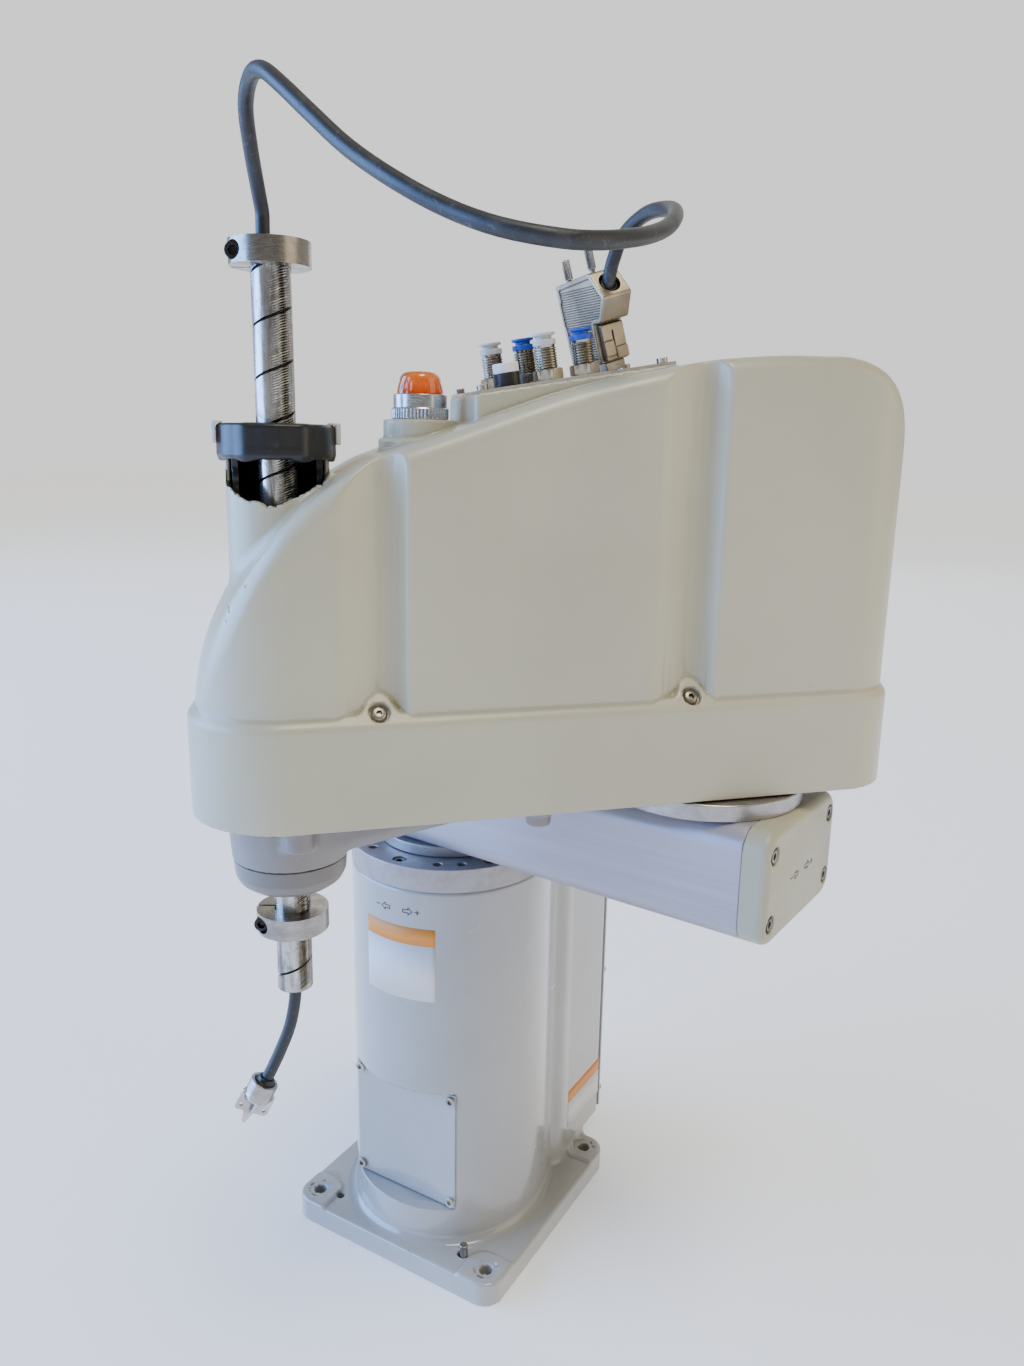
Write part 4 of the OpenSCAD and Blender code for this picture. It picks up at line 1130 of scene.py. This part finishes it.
solid("link_casting", casting, (-106, -50, 370), (288, 50, 462), 1.7, ARM2, "cast_alloy", 70000, "arm2",
      "arm2_casting")
revolve("nose_ring", [(11, 365), (11, 357, 0.6), (20.5, 357), (24.5, 357.6, 2), (28.4, 360.6, 4),
                      (30.4, 365, 4), (31, 373.6, 0.5), (21, 373.6), (21, 365)],
        SHAFT, "nose_paint", "arm2", "nose_cap", sides=96)


# ---- Base ----

COLUMN_R, HOUSING_HALF = 73, 68


def base(p):
    x, y, z = p.T
    a = np.abs(y)
    centre_x = (83 - 103) / 2
    pad = box2(np.abs(x + 10) - 82.5, a - 81.5, 20, 20, 12)
    top = 17 + 1.5 * np.clip(0.5 - pad / 3, 0, 1) ** 2 * (3 - 2 * np.clip(0.5 - pad / 3, 0, 1))
    foot = both(box2(x - centre_x, y, 93, 92, 15), z - top, 2.6)
    foot = both(foot, -z, 0.6)
    column = both(disc(x, y, COLUMN_R), z - 298, 2.4)
    column = np.maximum(column, 5 - z)
    neck = both(both(box2(x + 30, y, 40, 63, 5), z - 290, 5), 5 - z, 0.5)
    housing = both(box2(x + 96.5, y, 40.5, HOUSING_HALF, 8), between(z, 19, 290), 5)
    trunk = either(column, neck, 14)
    trunk = either(trunk, housing, 9)
    body = np.maximum(either(foot, trunk, 8), -z)
    body = without(body, within(57 - x, a - 62, between(z, 46, 142)), 0.8)
    r = np.hypot(x, y)
    hollow = reduce(np.minimum, (
        within(r - 65, between(z, 20, 259), np.where(z < 152, x - 49, -99)),
        within(r - 60, 258 - z),
        within(a - 60, between(x, -129, 0), between(z, 26, 252)),
        within(a - 60, between(x, -150, -128), between(z, 30, 244)),
        within(a - 33, between(x, 37, 70), between(z, 62, 126))))
    body = without(body, hollow, 0.8)
    for cx, cy in product((-87.5, 67.5), (-77.5, 77.5)):
        hole = disc(x - cx, y - cy, 0)
        body = without(body, hole - 4.5, 0.6)
        body = without(body, np.maximum(hole - 8.5, 18 - z), 0.3)
    body = without(body, disc(x - 64, y + 60, 3), 0.4)
    slot = np.hypot(x - 64, np.maximum(np.abs(y - 55) - 1, 0)) - 3
    return without(body, slot, 0.4)


solid("base_column", base, (-141, -96, -3), (87, 96, 302), 1.8, BASE, "base_paint", 130000, "base",
      "base_casting")


# ---- End caps of the inner link ----

ARM1_MID, CAP_OUT = 357.5, 16


def end_cap(p):
    x, y, z = p.T
    up = z - ARM1_MID
    shell = both(box2(y, up, 54, 34.5, 14), x - CAP_OUT, 5.5)
    shell = both(shell, 0.15 - x, 0.5)
    shell = without(shell, np.maximum(box2(y, up, 47, 27.5, 8), x - 12), 0.6)
    hole = disc(np.abs(y) - 44, np.abs(up) - 20.5, 0)
    shell = either(shell, within(hole - 6.5, between(x, 0.5, 13), box2(y, up, 52, 33, 12)), 1)
    shell = without(shell, np.maximum(hole - 5.5, 11 - x), 0.8)
    return without(shell, hole - 2.2, 0.3)


OUTER_CAP = ARM1 @ move(ARM1_LEN + 50, 0, 0)
INNER_CAP = ARM1 @ move(-50, 0, 0) @ turn("z", 180)
for label, cap_place in (("outer", OUTER_CAP), ("inner", INNER_CAP)):
    solid("end_cap_" + label, end_cap, (-2, -57, 320), (19, 57, 395), 1.1, cap_place, "cap_plastic",
          36000, "arm1", f"arm1_{label}_cap", edge_reach=1.5)


# ---- Connector hood ----

def half_plane(u, v, a, b):
    """Distance to the right-hand side of the line from a to b."""
    d = np.array(b, float) - np.array(a, float)
    d /= np.linalg.norm(d)
    return (u - a[0]) * d[1] - (v - a[1]) * d[0]


def hood_face(w, h):
    """Outline of the hood's broad face."""
    stem = both(both(w - 15.5, -15.5 - w, 1), 5.5 - h, 0.6)
    stem = both(stem, h - 40, 0.5)
    crown = both(-15.5 - w, 26 - h, 1.2)
    for a, b in (((23, 26), (30.5, 38)), ((30.5, 38), (20, 51)), ((20, 51), (-15.5, 48.5))):
        crown = both(crown, half_plane(w, h, a, b), 1.2)
    return either(stem, crown, 0.8)


def hood(p):
    x, w, h = p.T
    block = both(hood_face(w, h), np.abs(x) - 8.75, 0.9)
    latch = both(box2(w - 16, h - 15.5, 3.0, 9.2, 0.6), np.abs(x) - 6.8, 0.4)
    for left, right, low, high, out in ((-6.8, 0.2, 6.4, 12.2, 19.8), (0.6, 6.8, 8.5, 16.2, 19.4)):
        step = both(both(between(x, left, right), between(h, low, high), 0.4), between(w, 15, out), 0.4)
        latch = either(latch, step, 0.15)
    slit = np.maximum(np.maximum(np.abs(x - 0.4) - 0.35, between(h, 13.2, 21)), 17.4 - w)
    latch = without(latch, slit, 0.15)
    block = either(block, latch, 0.4)
    recess = np.maximum(hood_face(w, h) + 2.4, 7.9 - np.abs(x))
    block = without(block, recess, 0.25)
    c, s = math.cos(math.radians(OUTLET_TILT)), math.sin(math.radians(OUTLET_TILT))
    along = (w - OUTLET[1]) * s + (h - OUTLET[2]) * c
    across = (w - OUTLET[1]) * c - (h - OUTLET[2]) * s
    return without(block, np.maximum(np.hypot(x, across) - 5.5, -6 - along), 0.5)


solid("hood_shell", hood, (-11, -18, 3), (11, 33, 54), 0.5, HOOD, "hood_nickel", 60000, "arm2",
      "dsub_hood", edge_reach=0.8)


def hood_ribs():
    """Rows of fine ribs on both broad faces of the hood."""
    verts, faces = [], []
    across = np.linspace(-16, 32, 193)
    for side_x, row in product((-1, 1), range(30)):
        h = 8.6 + row * 1.24
        held = across[hood_face(across, np.full(193, h)) < -2.9]
        start = len(verts)
        for w in (held.min(), held.max()):
            for dh, dx in ((-0.36, 7.85), (-0.12, 8.7), (0.12, 8.7), (0.36, 7.85)):
                verts.append((side_x * dx, w, h + dh))
        faces += [(start + k, start + k + 1, start + k + 5, start + k + 4) for k in range(3)]
        faces += [(start, start + 4, start + 7, start + 3), (start + 3, start + 2, start + 1, start),
                  (start + 4, start + 5, start + 6, start + 7)]
    made = make_object("hood_face_ribs", verts, faces, HOOD, "hood_nickel", smooth=False)
    mesh_edges(made)
    return attach(made, "arm2", "hood_nickel")


hood_ribs()


def knurled(teeth, depth, low, high):
    """Radius change for a knurled height range."""
    def shape(angles, r, z):
        inside = low <= z <= high
        return r - depth * (0.5 - 0.5 * np.cos(teeth * angles)) * inside
    return shape


thumbs = []
for w in (-14, 11):
    low = 48.5 + 0.1 * (w + 14)
    thumbs.append(revolve(
        f"thumb_{w}",
        [(0, low - 2), (1.5, low - 2), (1.5, low + 1.5), (2.3, low + 1.5, 0.3), (2.3, low + 2),
         (2.3, low + 11), (2.3, low + 12, 0.4), (0.6, low + 12), (0.5, low + 11.2), (0, low + 11.2)],
        HOOD @ move(0, w, 0), "screw_steel", "arm2", sides=96, shape=knurled(24, 0.3, low + 2, low + 11)))
joined("hood_thumb_pair", thumbs, "arm2", "screw_steel", "hood_thumbscrews")


# ---- Lamp, button and air fittings ----

LAMP = ARM2 @ move(LAMP_T, 0, TURRET_TOP)


def lamp_knurl(angles, r, z):
    """Radius change for the fine teeth of the lamp's lower ring."""
    return r - 0.8 * (0.5 - 0.5 * np.cos(48 * angles)) * (0.7 < z < 5.3) * (r > 14)


revolve("lamp_knurled_ring", [(0, -8), (8.5, -8), (8.5, 0), (14.4, 0, 0.3), (14.85, 0.6), (14.85, 0.8),
                              (14.85, 5.2), (14.85, 5.4), (14.4, 6, 0.3), (13.9, 6.1), (13.9, 12.6, 0.5),
                              (12.1, 13, 0.4), (11.4, 12), (0, 12)],
        LAMP, "lamp", "arm2", "lamp_base", slot="screw_steel", sides=240, shape=lamp_knurl)


def dome_ribs(angles, r, z):
    """Radius change for the moulded ribs low on the lamp's dome."""
    return r - 0.22 * (0.5 - 0.5 * np.cos(24 * angles)) * (13.8 < z < 19) * (r > 8)


dome = [(12.0, 12.6), (12.0, 13.6)]
dome += [(12 - 0.04 * k - 0.045 * k * k, 13.6 + 1.15 * k) for k in range(1, 6)]
dome += [(5.6 + 5.1 * math.cos(math.radians(a)), 19.6 + 4.6 * math.sin(math.radians(a)))
         for a in range(8, 90, 9)]
revolve("lamp_dome", [(0, 12.6)] + dome + [(0, 24.5)], LAMP, "lens_orange", "arm2", "lamp_lens",
        sides=144, shape=dome_ribs)

BUTTON = on_plate(133, 16)
revolve("button_collar", [(0, -6), (5.5, -6), (5.5, 0), (7.2, 0.05, 0.3), (7.2, 6.8, 0.5),
                          (6.85, 6.8, 0.2), (6.85, 1), (0, 1)],
        BUTTON, "black_plastic", "arm2", "brake_button_body")
revolve("button_cap", [(0, 4.6), (6.7, 4.6, 0.2), (6.7, 11.6, 0.7), (5.4, 11.6, 0.3), (4.9, 11.3, 0.3),
                       (0, 11.3)],
        BUTTON, "button_white", "brake_release", "brake_button")


def hexagon(flats, height):
    """Radius change that makes low heights a chamfered hexagon."""
    def shape(angles, r, z):
        if r < flats / 2 or z > height:
            return np.full(len(angles), r)
        corner = np.abs((angles + math.pi / 6) % (math.pi / 3) - math.pi / 6)
        return np.minimum(flats / 2 / np.cos(corner), r)
    return shape


# Places on the plate, and the colours of the collars
FITTINGS = ((132, -12, "grey"), (114, -12, "blue"), (111, 16, "grey"), (91, 16, "blue"))


def thread(radius, low, high, pitch, depth):
    """Profile points of a screw thread, cut as rings."""
    out = []
    for k in range(int((high - low) / pitch)):
        z = low + k * pitch
        out += [(radius - depth, z), (radius - 0.08, z + 0.36 * pitch),
                (radius - 0.08, z + 0.56 * pitch), (radius - depth, z + 0.92 * pitch)]
    return out


bodies = []
rings = {"grey": [], "blue": []}
for number, (t, s, tone) in enumerate(FITTINGS, 1):
    place, plastic_ring = on_plate(t, s), "ring_" + tone
    bodies.append(revolve(
        f"fitting_{number}", [(3, 12), (3, -7), (5.2, -7), (5.9, -6), (5.9, 0), (7.4, 0.02), (8.08, 0.5),
                              (8.08, 5.0), (7.0, 5.5), (5.6, 5.52), *thread(6, 5.9, 17.4, 1.3, 0.85),
                              (5.5, 17.4), (4.3, 17.4, 0.2), (4.25, 12)],
        place, "fitting", "arm2", slot="screw_steel", sides=72, shape=hexagon(14, 5.2)))
    rings[tone].append(revolve(
        f"fitting_ring_{number}", [(4.3, 17.4), (6.0, 17.4, 0.2), (6.0, 20.2, 0.5), (4.3, 20.3, 0.2)],
        place, plastic_ring, "arm2", sides=48))
    revolve(f"release_collar_{number}",
            [(3.15, 14), (4.1, 14, 0.2), (4.1, 21.6, 0.5), (5.9, 22.1, 0.3), (6.1, 23.0, 0.4),
             (5.7, 23.5, 0.3), (3.6, 23.5, 0.3), (3.15, 22.6)],
            place, plastic_ring, f"tube_release_{number}", f"release_ring_{number}", sides=56)
joined("fitting_bodies", bodies, "arm2", "screw_steel", "air_fitting_bodies")
for tone, made in rings.items():
    joined("fitting_ring_" + tone, made, "arm2", "ring_" + tone)


# ---- Tower cap and clips ----

def tower_cap(p):
    x, y, z = p.T
    r = np.hypot(x, y)
    angle = np.arctan2(y, x)
    lumps = 1.1 * np.maximum(np.cos(6 * angle + 0.6), 0) ** 2
    low = 588 - 1.5 * np.maximum(np.cos(6 * angle + 0.6), 0)
    disc_part = both(r - 28.6 - lumps, between(z, 588, 605), 2.2)
    lip = both(r - 28.0 - lumps, between(z, low, 594), 1.4)
    disc_part = either(disc_part, lip, 1.0)
    disc_part = without(disc_part, np.maximum(r - 25.5, z - 587.9), 0.4)
    disc_part = either(disc_part, both(r - 17, between(z, 600, 605), 1.2), 1.5)
    disc_part = without(disc_part, r - 12.6, 1.0)
    sleeve = both(np.maximum(r - 22.9, 19.5 - r), between(z, 545, 590), 0.5)
    sleeve = both(sleeve, y - 4 - 0.5 * np.sin(z * 0.6), 0.4)
    return either(disc_part, sleeve, 0.6)


solid("tower_stop", tower_cap, (-33, -33, 542), (33, 33, 608), 0.9, SHAFT, "black_plastic", 40000, "arm2",
      "tower_cap", edge_reach=1.2)


def clips(p):
    x, y, z = p.T
    a = np.abs(x) - 29
    block = both(box2(a, y, 3, 6, 1.4), between(z, 595, 606), 0.9)
    return without(block, np.maximum(np.hypot(x, y) - 30.1, z - 604.9), 0.2)


solid("tower_clips", clips, (-34, -8, 592), (34, 8, 608), 0.6, SHAFT, "clip_white", 9000, "arm2",
      "tower_cap_clips", edge_reach=0.8)


# ---- Tool shaft: ball groove round it and spline grooves along it ----

def spline_shaft():
    low, high, lead_step = 292.0, 690.0, 25.0
    columns = 168
    middle_rows = np.arange(low + 1.6, high - 1.6, 1.25)
    rows = np.concatenate([(low, low + 0.35), middle_rows, (high - 0.35, high)])
    around = np.linspace(0, 2 * math.pi, columns, endpoint=False)
    focus = around - 0.55 * np.sin(around)
    verts, groove = [], []
    for z in rows:
        base_angle = 2 * math.pi * z / lead_step
        angle = focus + base_angle
        fade = min(1, (z - low) / 3, (high - z) / 3)
        wound = ((focus + math.pi) % (2 * math.pi) - math.pi) * 10
        ball = np.clip(1 - (wound / 1.9) ** 2, 0, 1) ** 0.5 * 1.25
        third = ((angle + math.pi / 3) % (2 * math.pi / 3) - math.pi / 3) * 10
        spline = np.clip(1 - (third / 1.7) ** 2, 0, 1) ** 0.5 * 0.9
        depth = np.maximum(ball, spline) * max(fade, 0)
        chamfer = 0.35 if z in (low, high) else 0.0
        r = 10 - chamfer - depth
        verts += list(zip(r * np.cos(angle), r * np.sin(angle), np.full(columns, z)))
        groove += list(depth)
    count = len(rows)
    inner = len(verts)
    for z in (low, high):
        twist = 2 * math.pi * z / lead_step
        verts += [(7 * math.cos(a + twist), 7 * math.sin(a + twist), z) for a in focus]
        # The end faces get the grooves' painted shade.
        groove += [0.8] * columns
    faces = []
    for k in range(columns):
        j = (k + 1) % columns
        for i in range(count - 1):
            faces.append((i * columns + k, i * columns + j, (i + 1) * columns + j, (i + 1) * columns + k))
        top = (count - 1) * columns
        faces.append((k, inner + k, inner + j, j))
        faces.append((top + k, top + j, inner + columns + j, inner + columns + k))
    made = make_object("shaft_ball_spline", verts, faces, SHAFT, "shaft")
    point_attribute(made.data, "groove", groove)
    low, high = low + 0.05, high - 0.05
    revolve("shaft_bore", [(7.0, low), (7.0, high), (7.05, high), (7.05, low)], SHAFT, "shaft",
            "tool_shaft", slot="ground_steel", sides=48)
    made.data.set_sharp_from_angle(angle=math.radians(48))
    attach(made, "tool_shaft", "ground_steel", "spline_shaft")


spline_shaft()


# ---- Printed travel marks and blank stickers ----

PRINT_LIFT = 0.12


def on_column(u, v, lift):
    """A place on the column's face: u round it, v up it."""
    a = u / COLUMN_R
    return (COLUMN_R + lift) * math.cos(a), (COLUMN_R + lift) * math.sin(a), v


def on_housing(u, v, lift):
    """A place on the rear housing's flank: u toward the back, v up it."""
    return -u, HOUSING_HALF + lift, v


def on_cap(u, v, lift):
    """A place on an end cap's face: u across it, v up from its middle."""
    return CAP_OUT + lift, u, ARM1_MID + v


def strip(verts, faces, on, left, right, low, high, columns=1):
    """A thin closed strip that follows the face it lies on."""
    start = len(verts)
    for u in np.linspace(left, right, columns + 1):
        verts += [on(u, low, -0.1), on(u, low, PRINT_LIFT), on(u, high, PRINT_LIFT), on(u, high, -0.1)]
    for i in range(columns):
        a = start + 4 * i
        faces += [(a + k, a + 4 + k, a + 4 + (k + 1) % 4, a + (k + 1) % 4) for k in range(4)]
    end = start + 4 * columns
    faces += [tuple(range(start, start + 4)), tuple(range(end + 3, end - 1, -1))]


# Outer and inner outline of the right arrow, and the boxes of the signs, in millimetres from the middle
ARROW = (((12.9, 0), (9.1, 3.4), (9.1, 1.5), (5, 1.5), (5, -1.5), (9.1, -1.5), (9.1, -3.4)),
         ((11.9, 0), (9.8, 1.9), (9.8, 0.8), (5.7, 0.8), (5.7, -0.8), (9.8, -0.8), (9.8, -1.9)))


BARS = ((-18, -14.4, -0.35, 0.35), (14.4, 18, -0.35, 0.35), (15.85, 16.55, 0.35, 1.8),
        (15.85, 16.55, -1.8, -0.35))


def travel_marks(name, on, middle, height, matrix, body):
    """A minus sign, two outlined arrows and a plus sign in a row."""
    verts, faces = [], []
    for way in (-1, 1):
        start = len(verts)
        verts += [on(middle + way * u, height + v, PRINT_LIFT) for loop in ARROW for u, v in loop]
        for k in range(7):
            quad = (start + k, start + (k + 1) % 7, start + 7 + (k + 1) % 7, start + 7 + k)
            faces.append(quad[::way])
    for left, right, low, high in BARS:
        strip(verts, faces, on, middle + left, middle + right, height + low, height + high)
    attach(make_object(name, verts, faces, matrix, "mark", smooth=False), body, "black_plastic")


def sticker(name, on, left, right, low, high, material, slot):
    """A plain sticker on the base, with nothing printed on it."""
    verts, faces = [], []
    strip(verts, faces, on, left, right, low, high, 20)
    attach(make_object(name, verts, faces, BASE, material), "base", slot)


travel_marks("column_travel_marks", on_column, 4, 282.3, BASE, "base")
travel_marks("cap_travel_marks", on_cap, 0, -2, OUTER_CAP, "arm1")
for label, on, left, right, low, seam, high in (("column", on_column, -24, 33, 215.5, 257.5, 270.5),
                                                ("housing", on_housing, 75, 132, 41, 63.5, 74.5)):
    sticker(label + "_sticker", on, left, right, low, seam, "label_white", "button_white")
    sticker(label + "_sticker_band", on, left, right, seam, high, "label_orange", "lens_orange")


# ---- CAD nodes whose shape is right: bevelled copies for the visible ones, a material for the rest ----
# Node, then the piece's name, the bevel's width and the material if it is not the slot's

REFINED = {
    "base_access_cover": ("access_panel", 0.35), "base_panel_screws": ("panel_screws", 0.3),
    "base_rear_panel": ("rear_panel", 0.4), "power_connector": ("power_inlet", 0.7),
    "signal_connector": ("signal_inlet", 0.7), "base_air_fittings": ("rear_air_ports", 0.3),
    "dowel_pin": ("locating_pin", 0.5), "j1_flange_ring": ("shoulder_ring", 0.5, "ring_1"),
    "j1_flange_bolts": ("shoulder_bolts", 0.35, "cap_screw"),
    "j1_output_flange": ("shoulder_flange", 0.5, "ring_1"), "arm1_beam": ("beam_extrusion", 0.7),
    "arm1_cap_screws": ("cap_screw_heads", 0.3, "cap_screw"),
    "j2_flange_ring": ("elbow_ring", 0.6, "ring_2"),
    "connector_plate": ("top_plate", 0.25), "connector_plate_screws": ("plate_screw_heads", 0.25),
    "dsub_socket": ("socket_flange", 0.5), "upper_collar": ("collar_high", 0.5, "collar"),
    "lower_collar": ("collar_low", 0.5, "collar"), "collar_screws": ("collar_bolts", 0.3)}
for node, how in REFINED.items():
    refine(node, *how)

for node, obj in frame["nodes"].items():
    obj.data.materials.clear()
    obj.data.materials.append(MATERIALS[slot_of[node]])
